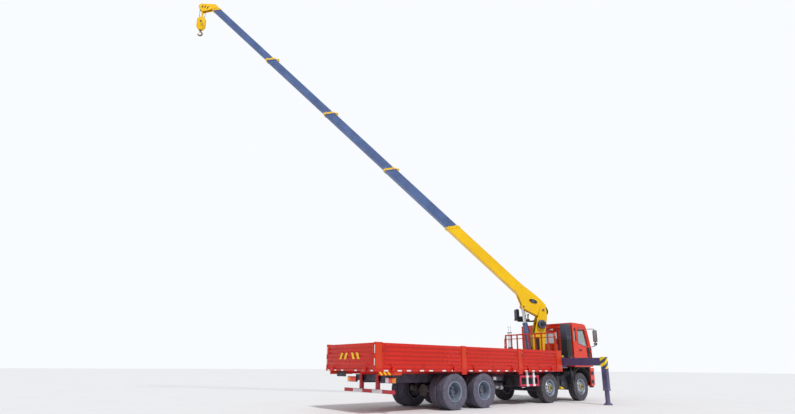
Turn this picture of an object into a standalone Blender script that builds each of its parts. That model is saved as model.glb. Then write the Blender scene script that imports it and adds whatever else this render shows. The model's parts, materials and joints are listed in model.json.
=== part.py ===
"""Truck-mounted telescopic crane: a four-axle cab-over lorry with a dropside body, a stiff telescopic boom
behind the cab and two outriggers. Metres, +X forward, +Y left, +Z up.

Everything is first placed from the ground under the rear end of the cargo body, on the centre line. One
parent empty then carries the whole machine so that its origin is the bottom centre of its bounding box.
"""
import math

import bmesh
import bpy
import numpy as np
from mathutils import Matrix, Vector

# ---------------------------------------------------------------- clearances
GAP = 0.0003                 # between pieces that touch
SLIP = 0.0004                # between flat faces that slide on each other
RUN = 0.006                  # round a moving piece
ROUND = 20                   # sides of a tyre or rim

# ---------------------------------------------------------------- wheels and axles
TYRE_R = 0.542
TYRE_W = 0.300
RIM_R = 0.305
AXLE_X = (10.45, 8.27, 4.44, 3.09)
STEER_AXLES = (0, 1)
FRONT_TRACK = 1.986          # between the middles of the front tyres
REAR_OUTER_TRACK = 2.168     # between the middles of the outer rear tyres
TWIN_SPACING = 0.335
KINGPIN_Y = 0.85
DRUM_R = 0.19

# ---------------------------------------------------------------- chassis
RAIL_H = 0.26
RAIL_W = 0.08
RAIL_OUT = 0.43              # outer face of a rail from the centre line
RAIL_REAR = 0.80
BODY_GAP = 0.051             # from the tyre tops to the body's bottom rail
SILL_H = 0.075               # frame top to the body's bottom rail
FRONT_SPRING_L = 1.20
REAR_SPRING_L = 1.53

# ---------------------------------------------------------------- cargo body
BODY_L = 9.00
BODY_HALF = 1.25
SIDE_H = 0.673
SIDE_T = 0.035
REAR_POST = 0.24
FRONT_POST = 0.37
MID_POST = 0.20
POST_X = (3.48, 6.36)
POST_UP = 0.765              # post height above the bottom rail's underside
FLOOR_T = 0.06
HINGE_OUT = 0.04             # drop-side hinge pin, outside the body's face
LUG_W = 0.08
RIBS = 5
HEADBOARD_X = 8.77           # front face
HEADBOARD_H = 1.36
HEADBOARD_BARS = 9

# ---------------------------------------------------------------- cab
CAB_REAR = 9.98
CAB_FRONT = 11.37
CAB_HALF = 1.22
CAB_FLOOR_UP = 0.26          # cab underside above the frame
CAB_ROOF_UP = 2.00           # roof above the frame
CAB_WALL = 0.06
DOOR_T = 0.05
DOOR_HINGE_OUT = 0.035
BUMPER_X = 11.09
BUMPER_LOW = 0.56
BUMPER_WALL_X = 11.24        # inner face of the bumper's front wall

# ---------------------------------------------------------------- crane base and outriggers
BEAM_W = 0.22
BEAM_H = 0.28
BEAM_PITCH = 0.36            # between the two outrigger beams, along the lorry
BEAM_OUT = 2.92              # beam end from the centre line
BEAM_IN = 0.65
HOUSING_HALF = 1.02
LEG_W = 0.18
LEG_TUBE_LOW = 0.49
LEG_R = 0.08
FOOT_R = 0.15

# ---------------------------------------------------------------- slewing column
SLEW_X = 9.36
SLEW_DEG = 34.43             # boom direction at rest, from straight back towards the left
COLUMN_HALF = 0.19
CHEEK_T = 0.03
COLUMN_REAR = -0.18
COLUMN_FRONT = 0.28
TURNTABLE_UP = 0.70          # top of the fixed ring above the frame
PIVOT_S = -0.237             # boom pivot along the boom direction, from the slewing axis
PIVOT_UP = 2.558             # boom pivot above the frame
HEAD_R = 0.14
FOOT_S = 0.40                # luffing cylinder's foot pin
FOOT_UP = 0.80
BARREL_R = 0.10
BARREL_L = 1.235
ROD_R = 0.065
ROD_L = 1.195
EYE_R = 0.07
DRUM_S = -0.12
DRUM_UP = 1.96
WINCH_R = 0.13

# ---------------------------------------------------------------- boom
BOOM_DEG = 43.28             # boom elevation at rest
BASE_END = 5.313
REACH = (3.767, 3.767, 3.779, 3.628)     # how far each section stands out of the one before
BASE_HW = (0.421, 0.280)
TIP_HW = (0.277, 0.162)
WALL_H = 0.010
WALL_W = 0.008
NEST = 0.55                  # length of a section left inside its parent
SLANT = 0.70                 # how far an end leans back per metre of height
COLLAR_L = 0.14
COLLAR_OUT = 0.015
TIP_COLLAR_L = 0.10
LUG_T = 0.685                # luffing cylinder's upper pin, along and below the boom
LUG_N = -0.45
LUG_SLOT = 0.085             # half the slot between the boom's lug plates
SHEAVE_R = 0.13
SHEAVE_T = 0.37
SHEAVE_N = -0.38

# ---------------------------------------------------------------- heights that follow
RAIL_UNDER = 2 * TYRE_R + BODY_GAP
FRAME_TOP = RAIL_UNDER - SILL_H
FRAME_LOW = FRAME_TOP - RAIL_H
FLOOR_TOP = FRAME_TOP + 0.20
HINGE_Z = RAIL_UNDER + 0.03
SIDE_LOW = RAIL_UNDER + 0.077
SIDE_TOP = SIDE_LOW + SIDE_H
CAB_LOW = FRAME_TOP + CAB_FLOOR_UP
CAB_ROOF = FRAME_TOP + CAB_ROOF_UP
BEAM_LOW = FRAME_TOP + 0.30
BEAM_TOP = BEAM_LOW + BEAM_H
HOUSING_TOP = BEAM_TOP + 0.03
RING_TOP = FRAME_TOP + TURNTABLE_UP
PIVOT_Z = FRAME_TOP + PIVOT_UP
FOOT_Z = FRAME_TOP + FOOT_UP
DRUM_Z = FRAME_TOP + DRUM_UP
BEAM_X = {"r": SLEW_X - BEAM_PITCH / 2, "l": SLEW_X + BEAM_PITCH / 2}
LEG_Y = BEAM_OUT - LEG_W / 2
SIDES = {"r": -1, "l": 1}
FRONT_Y = FRONT_TRACK / 2
OUTER_Y = REAR_OUTER_TRACK / 2
INNER_Y = OUTER_Y - TWIN_SPACING
SPRING_Z = FRAME_LOW - 0.18          # top of a front spring's ends


def section_ends():
    """Lower front corner of the base and of each section, along the boom."""
    ends = [BASE_END]
    for reach in REACH:
        ends.append(ends[-1] + reach)
    return ends


ENDS = section_ends()
SECTION_H = np.linspace(BASE_HW[0], TIP_HW[0], 5)
SECTION_W = np.linspace(BASE_HW[1], TIP_HW[1], 5)

# ---------------------------------------------------------------- frames of reference
SLEW_ANGLE = math.pi - math.radians(SLEW_DEG)
CRANE = Matrix.Translation((SLEW_X, 0, 0)) @ Matrix.Rotation(SLEW_ANGLE, 4, "Z")
PIVOT = CRANE @ Matrix.Translation((PIVOT_S, 0, PIVOT_Z))
BOOM = PIVOT @ Matrix.Rotation(-math.radians(BOOM_DEG), 4, "Y")


def crane_point(s, z):
    """A point of the boom's plane, from the slewing axis."""
    return Vector((s, 0, z))


def rod_eye():
    """Upper pin of the luffing cylinder in the crane's frame, at rest."""
    boom = Matrix.Translation((PIVOT_S, 0, PIVOT_Z)) @ Matrix.Rotation(-math.radians(BOOM_DEG), 4, "Y")
    return boom @ Vector((LUG_T, 0, LUG_N))


CYLINDER_LINE = rod_eye() - crane_point(FOOT_S, FOOT_Z)
CYLINDER_L = CYLINDER_LINE.length
CYLINDER_TILT = math.atan2(CYLINDER_LINE.x, CYLINDER_LINE.z)
CYLINDER = (CRANE @ Matrix.Translation((FOOT_S, 0, FOOT_Z))
            @ Matrix.Rotation(CYLINDER_TILT - math.pi / 2, 4, "Y"))
HOOK_PIN = BOOM @ Vector((ENDS[4] + SHEAVE_T, 0, SHEAVE_N))
HOOK = Matrix.Translation(HOOK_PIN) @ Matrix.Rotation(SLEW_ANGLE, 4, "Z")


# ---------------------------------------------------------------- tools
def clear_scene():
    """Remove every object of the open scene."""
    for item in list(bpy.data.objects):
        bpy.data.objects.remove(item, do_unlink=True)


def paint(name, colour, roughness, metallic=0.0):
    """A Principled material."""
    made = bpy.data.materials.new(name)
    made.use_nodes = True
    shader = made.node_tree.nodes["Principled BSDF"]
    shader.inputs["Base Color"].default_value = (*colour, 1.0)
    shader.inputs["Roughness"].default_value = roughness
    shader.inputs["Metallic"].default_value = metallic
    return made


def as_object(mesh_data, name="shape"):
    """An object from a bmesh, its faces pointing out."""
    bmesh.ops.recalc_face_normals(mesh_data, faces=mesh_data.faces)
    mesh = bpy.data.meshes.new(name)
    mesh_data.to_mesh(mesh)
    mesh_data.free()
    made = bpy.data.objects.new(name, mesh)
    bpy.context.scene.collection.objects.link(made)
    return made


def prism(points, axis, low, high):
    """An outline in the plane across an axis, extruded from low to high.

    The outline's two numbers are (y, z) across X, (x, z) across Y and (x, y) across Z.
    """
    def place(point, along):
        a, b = point
        return {"X": (along, a, b), "Y": (a, along, b), "Z": (a, b, along)}[axis]

    shape = bmesh.new()
    face = shape.faces.new([shape.verts.new(place(point, low)) for point in points])
    grown = bmesh.ops.extrude_face_region(shape, geom=[face])
    moved = [item for item in grown["geom"] if isinstance(item, bmesh.types.BMVert)]
    offset = Vector(place((0, 0), high)) - Vector(place((0, 0), low))
    bmesh.ops.translate(shape, verts=moved, vec=offset)
    return as_object(shape)


def box(low, high):
    """A box between two corners."""
    outline = [(low[0], low[1]), (high[0], low[1]), (high[0], high[1]), (low[0], high[1])]
    return prism(outline, "Z", low[2], high[2])


def mirrored_box(low, high, side):
    """A box given for the left side, on the chosen side."""
    if side < 0:
        low, high = (low[0], -high[1], low[2]), (high[0], -low[1], high[2])
    return box(low, high)


def turned(profile, axis="Y", centre=(0, 0, 0), sides=16, phase=0.5):
    """A profile of (along, radius) points turned about an axis; a radius of 0 is a pole.

    A profile that starts and ends at a pole is open; any other is closed to a ring.
    """
    shape = bmesh.new()
    centre = Vector(centre)
    rings = []
    for along, radius in profile:
        ring = []
        for k in range(1 if radius == 0 else sides):
            turn = 2 * math.pi * (k + phase) / sides - math.pi / 2
            a, b = radius * math.cos(turn), radius * math.sin(turn)
            spot = {"X": (along, a, b), "Y": (a, along, b), "Z": (a, b, along)}[axis]
            ring.append(shape.verts.new(centre + Vector(spot)))
        rings.append(ring)
    pairs = list(zip(rings, rings[1:]))
    if profile[0][1] and profile[-1][1]:
        pairs.append((rings[-1], rings[0]))
    for first, second in pairs:
        for k in range(sides):
            corners = [first[k % len(first)], first[(k + 1) % len(first)],
                       second[(k + 1) % len(second)], second[k % len(second)]]
            unique = list(dict.fromkeys(corners))
            if len(unique) > 2:
                shape.faces.new(unique)
    return as_object(shape)


def rod(axis, centre, radius, low, high, sides=16):
    """A cylinder along an axis, from low to high."""
    return turned([(low, 0), (low, radius), (high, radius), (high, 0)], axis, centre, sides)


def joined(base, tools, operation="UNION"):
    """Unite the tools with the base, or cut them from it, one after another."""
    for tool in tools:
        step = base.modifiers.new("step", "BOOLEAN")
        step.operation = operation
        step.object = tool
        bpy.context.view_layer.update()
        result = bpy.data.meshes.new_from_object(base.evaluated_get(bpy.context.evaluated_depsgraph_get()))
        base.modifiers.clear()
        old = base.data
        base.data = result
        bpy.data.meshes.remove(old)
        bpy.data.objects.remove(tool, do_unlink=True)
    return base


def cut(base, tools):
    """Cut the tools from the base."""
    return joined(base, tools, "DIFFERENCE")


def arc(centre, radius, start, end, count):
    """Points on an arc, angles in degrees."""
    turns = np.radians(np.linspace(start, end, count))
    return [(centre[0] + radius * math.cos(turn), centre[1] + radius * math.sin(turn)) for turn in turns]


def flat_radius(radius, sides=ROUND):
    """Corner radius of a polygon whose flats lie at the given radius."""
    return radius / math.cos(math.pi / sides)


PIECES = {}


def piece(name, shape, material, frame=None):
    """Keep a shape as a named piece, its mesh measured in the frame it is placed by."""
    shape.name = name
    shape.data.name = name
    shape.data.materials.clear()
    shape.data.materials.append(material)
    frame = frame or Matrix.Identity(4)
    PIECES[name] = (shape, frame)
    return shape


def localised(shape, frame):
    """Move a shape modelled in the lorry's frame into another frame."""
    shape.data.transform(frame.inverted())
    return shape


# ---------------------------------------------------------------- wheels
def tyre_profile(middle):
    """Tyre section about its middle plane, as (along, radius)."""
    half = TYRE_W / 2
    tread = flat_radius(TYRE_R)
    bead = flat_radius(RIM_R + GAP)
    return [(middle - half * 0.73, bead), (middle - half, bead + 0.06), (middle - half, tread - 0.09),
            (middle - half * 0.80, tread), (middle + half * 0.80, tread), (middle + half, tread - 0.09),
            (middle + half, bead + 0.06), (middle + half * 0.73, bead)]


def wheel_piece(name, profile, material, axle, side):
    """A turned wheel piece, its origin on the wheel's axle."""
    signed = [(side * along, radius) for along, radius in profile]
    shape = turned(signed, "Y", (0, 0, 0), ROUND)
    piece(name, shape, material, Matrix.Translation((AXLE_X[axle], 0, TYRE_R)))


def front_rim_profile():
    """Front rim: convex disc, hub nose standing out."""
    lip = flat_radius(RIM_R)
    disc = FRONT_Y + 0.0573
    return [(FRONT_Y + 0.207, 0), (FRONT_Y + 0.207, 0.07), (FRONT_Y + 0.157, 0.10), (FRONT_Y + 0.117, 0.14),
            (disc + 0.03, lip - 0.045), (FRONT_Y + 0.137, lip - 0.035), (FRONT_Y + 0.137, lip),
            (FRONT_Y - 0.137, lip), (FRONT_Y - 0.137, lip - 0.025), (disc, lip - 0.05), (disc, 0)]


def rear_rim_profile():
    """Rear twin rim: both barrels, disc between them, hub standing in the outer dish."""
    lip = flat_radius(RIM_R)
    disc = (OUTER_Y + INNER_Y) / 2 - 0.0165
    return [(disc + 0.20, 0), (disc + 0.20, 0.09), (disc + 0.04, 0.13), (disc + 0.04, lip - 0.04),
            (OUTER_Y + 0.13, lip - 0.028), (OUTER_Y + 0.13, lip), (INNER_Y - 0.13, lip),
            (INNER_Y - 0.13, lip - 0.028), (disc, lip - 0.035), (disc, 0)]


def twin_profile():
    """Two tyres with the spacer band between them."""
    outer = tyre_profile(OUTER_Y)
    inner = tyre_profile(INNER_Y)
    band = flat_radius(RIM_R + GAP) + 0.03
    seam = [(INNER_Y + TYRE_W / 2, band + 0.04), (OUTER_Y - TYRE_W / 2, band + 0.04)]
    return [inner[0], *inner[1:6], *seam, *outer[2:]]


def wheels(mats):
    """Single front wheels with their knuckles, twin rear wheels."""
    for axle in range(4):
        for key, side in SIDES.items():
            tag = f"{axle + 1}_{key}"
            if axle in STEER_AXLES:
                wheel_piece(f"tyre_{tag}", tyre_profile(FRONT_Y), mats["tyre"], axle, side)
                wheel_piece(f"rim_{tag}", front_rim_profile(), mats["rim"], axle, side)
                knuckle(f"knuckle_{tag}", axle, side, mats["chassis"])
            else:
                wheel_piece(f"twin_tyre_{tag}", twin_profile(), mats["tyre"], axle, side)
                wheel_piece(f"twin_rim_{tag}", rear_rim_profile(), mats["rim"], axle, side)


BOSS_HALF = 0.07
YOKE_HALF = 0.13


def knuckle(name, axle, side, material):
    """Steering knuckle: a fork round the axle's end and the brake drum, its origin on the kingpin."""
    face = FRONT_Y + 0.0573 - GAP - KINGPIN_Y
    body = mirrored_box((-0.05, 0.075, -YOKE_HALF), (0.05, 0.115, YOKE_HALF), side)
    parts = [rod("Y", (0, 0, 0), DRUM_R, side * 0.11, side * face)]
    for low, high in ((BOSS_HALF + SLIP, YOKE_HALF), (-YOKE_HALF, -BOSS_HALF - SLIP)):
        parts.append(rod("Z", (0, 0, 0), 0.055, low, high))
        parts.append(mirrored_box((-0.045, 0, low), (0.045, 0.09, high), side))
    place = Matrix.Translation((AXLE_X[axle], side * KINGPIN_Y, TYRE_R))
    piece(name, joined(body, parts), material, place)


def axles(mats):
    """Front beams with their leaf springs; driven rear axles."""
    for axle in STEER_AXLES:
        x = AXLE_X[axle]
        shape = box((x - 0.05, -0.72, TYRE_R - 0.14), (x + 0.05, 0.72, TYRE_R - 0.04))
        parts = []
        for side in SIDES.values():
            parts.append(mirrored_box((x - 0.05, 0.66, TYRE_R - 0.14), (x + 0.05, 0.78, TYRE_R + 0.05),
                                      side))
            parts.append(mirrored_box((x - 0.035, 0.70, TYRE_R - 0.05),
                                      (x + 0.035, KINGPIN_Y, TYRE_R + 0.05),
                                      side))
            parts.append(rod("Z", (x, side * KINGPIN_Y, TYRE_R), 0.06, -BOSS_HALF, BOSS_HALF))
            parts.append(mirrored_box((x - 0.09, 0.355, TYRE_R - 0.05), (x + 0.09, 0.425, SPRING_Z - 0.05),
                                      side))
            parts.append(mirrored_box((x - FRONT_SPRING_L / 2, 0.355, SPRING_Z - 0.06),
                                      (x + FRONT_SPRING_L / 2, 0.425, SPRING_Z), side))
        piece(f"front_axle_{axle + 1}", joined(shape, parts), mats["chassis"])
    for axle in (2, 3):
        x = AXLE_X[axle]
        drum_face = (OUTER_Y + INNER_Y) / 2 - 0.0165 - GAP
        shape = rod("X", (x, 0, TYRE_R), 0.19, -0.20, 0.20)
        parts = [rod("Y", (x, 0, TYRE_R + 0.001), 0.068, -0.64, 0.64, 14),
                 rod("X", (x, 0, TYRE_R + 0.058), 0.07, 0.15, 0.35, 14)]
        for side in SIDES.values():
            parts.append(rod("Y", (x, 0, TYRE_R), 0.20, side * 0.62, side * drum_face))
            parts.append(mirrored_box((x - 0.05, 0.445, TYRE_R + 0.01),
                                      (x + 0.05, 0.515, REAR_SPRING_LOW - GAP),
                                      side))
        piece(f"rear_axle_{axle + 1}", joined(shape, parts), mats["axle"])


REAR_SPRING_LOW = FRAME_LOW - 0.14
REAR_SPRING_TOP = FRAME_LOW - 0.06


# ---------------------------------------------------------------- chassis
CROSS_X = (2.20, 5.60, 7.20, 8.98)
TAIL_BAR_HALF = 0.80


def chassis(mats):
    """Ladder frame with spring hangers, bogie springs, tail cross bar and cab brackets."""
    front = BUMPER_WALL_X - GAP
    shape = box((RAIL_REAR, RAIL_OUT - RAIL_W, FRAME_LOW), (front, RAIL_OUT, FRAME_TOP))
    inner = RAIL_OUT - RAIL_W
    bogie = (AXLE_X[2] + AXLE_X[3]) / 2
    parts = [box((RAIL_REAR, -RAIL_OUT, FRAME_LOW), (front, -inner, FRAME_TOP)),
             box((RAIL_REAR, -TAIL_BAR_HALF, FRAME_TOP - 0.20), (RAIL_REAR + 0.10, TAIL_BAR_HALF,
                                                                       FRAME_TOP - 0.02)),
             box((front - 0.06, -inner - 0.01, FRAME_TOP - 0.18),
                 (front - 0.01, inner + 0.01, FRAME_TOP - 0.04))]
    for x in (*CROSS_X, bogie):
        parts.append(box((x - 0.05, -inner - 0.01, FRAME_TOP - 0.20),
                         (x + 0.05, inner + 0.01, FRAME_TOP - 0.06)))
    for side in SIDES.values():
        for axle in STEER_AXLES:
            for end in (-1, 1):
                x = AXLE_X[axle] + end * (FRONT_SPRING_L / 2 - 0.06)
                parts.append(mirrored_box((x - 0.05, 0.36, SPRING_Z + GAP),
                                          (x + 0.05, 0.42, FRAME_LOW + 0.02),
                                          side))
        parts.append(mirrored_box((bogie - 0.10, inner + 0.01, FRAME_LOW - 0.28), (bogie + 0.10, 0.50,
                                                                                  FRAME_LOW + 0.10), side))
        half = REAR_SPRING_L / 2
        parts.append(mirrored_box((bogie - half, 0.44, REAR_SPRING_LOW),
                                  (bogie + half, 0.52, REAR_SPRING_TOP),
                                  side))
        for x in (CAB_REAR + 0.05, BUMPER_X - 0.12):
            parts.append(mirrored_box((x, inner + 0.01, FRAME_TOP - 0.05), (x + 0.08, RAIL_OUT - 0.01,
                                                                           CAB_LOW - GAP), side))
    piece("chassis_frame", joined(shape, parts), mats["chassis"])


SHAFT_Z = TYRE_R + 0.058


def driveline(mats):
    """Engine, gearbox and propeller shaft, hung between the rails."""
    inner = RAIL_OUT - RAIL_W
    shape = box((10.00, -0.30, FRAME_LOW - 0.20), (10.95, 0.30, CAB_LOW - 0.10))
    parts = [rod("X", (0, 0, FRAME_LOW - 0.06), 0.19, 9.27, 10.01),
             rod("X", (0, 0, SHAFT_Z), 0.05, AXLE_X[2] + 0.35 + GAP, 9.30, 10)]
    for side in SIDES.values():
        parts.append(mirrored_box((10.15, 0.29, FRAME_LOW + 0.05), (10.27, inner - GAP, FRAME_LOW + 0.15),
                                  side))
    piece("engine_gearbox", joined(shape, parts), mats["engine"])


TANK_X = (5.60, 7.00)
GUARD_X = (6.37, 7.48)
GUARD_Y = 1.20
GUARD_Z = (0.63, 1.00)
GUARD_POSTS = (6.77, 7.16)


def fittings(mats):
    """Fuel tank on the left, side guards, rear underrun bar."""
    low, high = FRAME_LOW - 0.25, FRAME_LOW + 0.20
    outline = [(0.60, low), (1.06, low), (1.10, low + 0.04), (1.10, high - 0.06), (1.04, high),
               (0.60, high),
               (0.56, high - 0.04), (0.56, low + 0.04)]
    tank = prism(outline, "X", *TANK_X)
    brackets = [box((x, RAIL_OUT + GAP, FRAME_LOW + 0.04), (x + 0.08, 0.58, FRAME_LOW + 0.12))
                for x in (TANK_X[0] + 0.2, TANK_X[1] - 0.3)]
    piece("fuel_tank", joined(tank, brackets), mats["tank"])
    bar = 0.07
    for key, side in SIDES.items():
        x0, x1 = GUARD_X
        z0, z1 = GUARD_Z
        shape = mirrored_box((x0, GUARD_Y - 0.03, z0), (x1, GUARD_Y, z0 + bar), side)
        parts = [mirrored_box((x0, GUARD_Y - 0.03, z1 - bar), (x1, GUARD_Y, z1), side)]
        for x in (x0, x1 - bar):
            parts.append(mirrored_box((x, GUARD_Y - 0.029, z0 + 0.01),
                                      (x + bar, GUARD_Y - 0.001, z1 - 0.01), side))
        for x in GUARD_POSTS:
            parts.append(mirrored_box((x, GUARD_Y - 0.045, z0 + 0.005), (x + 0.08, GUARD_Y - 0.005,
                                                                        RAIL_UNDER - GAP), side))
        piece(f"side_guard_{key}", joined(shape, parts), mats["guard"])
    low = 0.53
    shape = box((RAIL_REAR - 0.14, -1.20, low), (RAIL_REAR - 0.06, 1.20, low + 0.10))
    parts = []
    for side in SIDES.values():
        parts.append(mirrored_box((RAIL_REAR - 0.10, 0.35, low + 0.05), (RAIL_REAR - GAP, 0.45, FRAME_TOP),
                                  side))
    piece("underrun_bar", joined(shape, parts), mats["body"])


# ---------------------------------------------------------------- cargo body
def panel_spans():
    """Start and end of the three drop panels of a side."""
    edges = [REAR_POST, *[x + side * MID_POST / 2 for x in POST_X for side in (-1, 1)], BODY_L - FRONT_POST]
    return [(edges[k] + RUN, edges[k + 1] - RUN) for k in range(0, 6, 2)]


TAILGATE_HALF = BODY_HALF - 0.065 - RUN


def hinge_spots(length):
    """Middles of a panel's hinge lugs, from its middle."""
    return [side * (length / 2 - 0.35) for side in (-1, 1)]


def panel_shape(length):
    """Ribbed drop panel with two hinge lugs; its origin is on the hinge pin, Y outward."""
    outer = -HINGE_OUT - 0.005
    inner = -HINGE_OUT - 0.005 - SIDE_T
    low, high = SIDE_LOW - HINGE_Z, SIDE_TOP - HINGE_Z
    step = (high - low - 0.08) / RIBS
    outline = [(inner, low), (outer, low)]
    for k in range(RIBS):
        start = low + 0.05 + k * step
        outline += [(outer - 0.012, start + step * 0.18), (outer - 0.012, start + step * 0.32),
                    (outer, start + step * 0.50), (outer, start + step * 0.92)]
    outline += [(outer, high), (inner, high)]
    shape = prism(outline, "X", -length / 2, length / 2)
    parts = []
    for x in hinge_spots(length):
        half = LUG_W / 2
        parts.append(box((x - half, outer - 0.01, low + 0.008), (x + half, 0.02, low + 0.048)))
        parts.append(box((x - half, -0.02, -0.02), (x + half, 0.02, low + 0.03)))
    return joined(shape, parts)


def panel_frames():
    """Name, length and frame of each drop panel and the tailgate."""
    frames = []
    for k, (start, end) in enumerate(panel_spans(), 1):
        for key, side in SIDES.items():
            place = Matrix.Translation(((start + end) / 2, side * (BODY_HALF + HINGE_OUT), HINGE_Z))
            turn = Matrix.Rotation(0 if side > 0 else math.pi, 4, "Z")
            frames.append((f"drop_side_{k}_{key}", end - start, place @ turn))
    place = Matrix.Translation((-HINGE_OUT, 0, HINGE_Z))
    frames.append(("tailgate", 2 * TAILGATE_HALF, place @ Matrix.Rotation(math.pi / 2, 4, "Z")))
    return frames


def cargo_body(mats):
    """Deck with posts and hinge ears, headboard, drop sides and tailgate."""
    side_rail = RAIL_UNDER + 0.065
    shape = box((0.0, -BODY_HALF, RAIL_UNDER), (BODY_L, BODY_HALF, side_rail))
    hollow = box((0.08, -BODY_HALF + 0.08, RAIL_UNDER - 0.1),
                 (BODY_L - 0.08, BODY_HALF - 0.08, side_rail + 0.1))
    cut(shape, [hollow])
    parts = [box((0.05, -BODY_HALF + 0.06, side_rail - 0.004),
                 (BODY_L - 0.01, BODY_HALF - 0.06, FLOOR_TOP))]
    bearers = 12
    for k in range(bearers):
        x = 0.45 + k * (BODY_L - 0.95) / (bearers - 1)
        parts.append(box((x, -BODY_HALF + 0.07, RAIL_UNDER + 0.004),
                         (x + 0.05, BODY_HALF - 0.07, side_rail)))
    sill_in = RAIL_OUT - RAIL_W
    for side in SIDES.values():
        parts.append(mirrored_box((0.15, sill_in, FRAME_TOP + GAP), (BODY_L - 0.05, RAIL_OUT, side_rail),
                                  side))
        face = BODY_HALF
        top = RAIL_UNDER + POST_UP
        parts.append(mirrored_box((0.001, face - 0.065, RAIL_UNDER + 0.001),
                                  (REAR_POST, face - 0.001, top), side))
        parts.append(mirrored_box((BODY_L - FRONT_POST, face - 0.065, RAIL_UNDER + 0.001),
                                  (BODY_L - 0.001, face - 0.001, top), side))
        for x in POST_X:
            parts.append(mirrored_box((x - MID_POST / 2, face - 0.05, RAIL_UNDER - 0.09),
                                      (x + MID_POST / 2, face + 0.004, top), side))
    for _, length, frame in panel_frames():
        for x in hinge_spots(length):
            near = x + LUG_W / 2 + SLIP
            ear = box((near, -HINGE_OUT - 0.02, -0.02), (near + 0.025, 0.02, 0.02))
            ear.data.transform(frame)
            parts.append(ear)
    piece("deck", joined(shape, parts), mats["body"])
    for name, length, frame in panel_frames():
        piece(name, panel_shape(length), mats["body"], frame)
    headboard(mats)


def headboard(mats):
    """Headboard: sheet below, bars above, stakes on the front posts."""
    bar = 0.045
    half = BODY_HALF - 0.07
    low, high = FLOOR_TOP + GAP, FLOOR_TOP + HEADBOARD_H
    post_top = RAIL_UNDER + POST_UP
    x0, x1 = HEADBOARD_X - 0.05, HEADBOARD_X
    shape = box((x0 + 0.015, -half + 0.01, low), (x1 - 0.015, half - 0.01, post_top))
    parts = [box((x0, -half, high - 0.05), (x1, half, high)),
             box((x0 + 0.006, -half + 0.01, high - 0.20), (x1 - 0.006, half - 0.01, high - 0.17)),
             box((x0 + 0.002, -half, post_top - 0.03), (x1 - 0.002, half, post_top + 0.02))]
    spacing = (2 * half - bar) / (HEADBOARD_BARS - 1)
    for k in range(HEADBOARD_BARS):
        y = -half + k * spacing
        parts.append(box((x0 + 0.003, y + 0.001, low + 0.001 * (k > 0)),
                         (x1 - 0.003, y + bar - 0.001, high - 0.01)))
    for side in SIDES.values():
        parts.append(mirrored_box((x0 + 0.004, half - 0.04, post_top + GAP), (x1 - 0.004, half + 0.065,
                                                                             post_top + 0.27), side))
    piece("headboard", joined(shape, parts), mats["body"])


# ---------------------------------------------------------------- cab
DOOR_X = (10.28, 11.20)
DOOR_LOW = CAB_LOW + 0.08
WAIST = CAB_LOW + 0.80


def cab_outline(inset):
    """Side view of the cab, drawn in by a wall."""
    rear, front = CAB_REAR + inset, CAB_FRONT - inset
    low = CAB_LOW + (inset and 0.28)
    return [(rear, low), (front - 0.01, low), (front, CAB_LOW + 0.38), (front - 0.04, WAIST),
            (front - 0.29, CAB_ROOF - 0.16 - inset), (front - 0.42, CAB_ROOF - 0.03 - inset),
            (front - 0.57, CAB_ROOF - inset), (rear, CAB_ROOF - 0.01 - inset)]


def door_outline(inset):
    """Side view of the door, drawn in by a gap."""
    x0, x1 = DOOR_X[0] + inset, DOOR_X[1] - inset
    return [(x0, DOOR_LOW + inset), (x1, DOOR_LOW + inset), (x1, WAIST),
            (x1 - 0.23, CAB_ROOF - 0.16 - inset),
            (x0, CAB_ROOF - 0.16 - inset)]


def door_window():
    """Window opening of a door."""
    x0, x1 = DOOR_X[0] + 0.08, DOOR_X[1] - 0.14
    return [(x0, WAIST + 0.14), (x1 - 0.25, WAIST + 0.03), (x1, WAIST + 0.06), (x1 - 0.17, CAB_ROOF - 0.24),
            (x0, CAB_ROOF - 0.24)]


HINGE_STACK = (DOOR_LOW + 0.15, WAIST - 0.20)
HINGE_X = DOOR_X[1] + 0.012


def door_hinge(side, z, on_door):
    """One leaf of a door hinge: the cab's leaf below, the door's above."""
    low = z + SLIP if on_door else z - 0.04
    high = z + 0.04 if on_door else z
    arm = (-0.07, 0.016) if on_door else (-0.012, 0.06)
    foot = (-0.07, -0.025) if on_door else (0.0, 0.055)
    face = CAB_HALF + DOOR_HINGE_OUT - 0.02
    leaf = mirrored_box((HINGE_X + arm[0], face, low), (HINGE_X + arm[1], face + 0.04, high), side)
    return joined(leaf, [mirrored_box((HINGE_X + foot[0], CAB_HALF - 0.01, low + 0.002),
                                      (HINGE_X + foot[1], face + 0.01, high - 0.002), side)])


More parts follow.
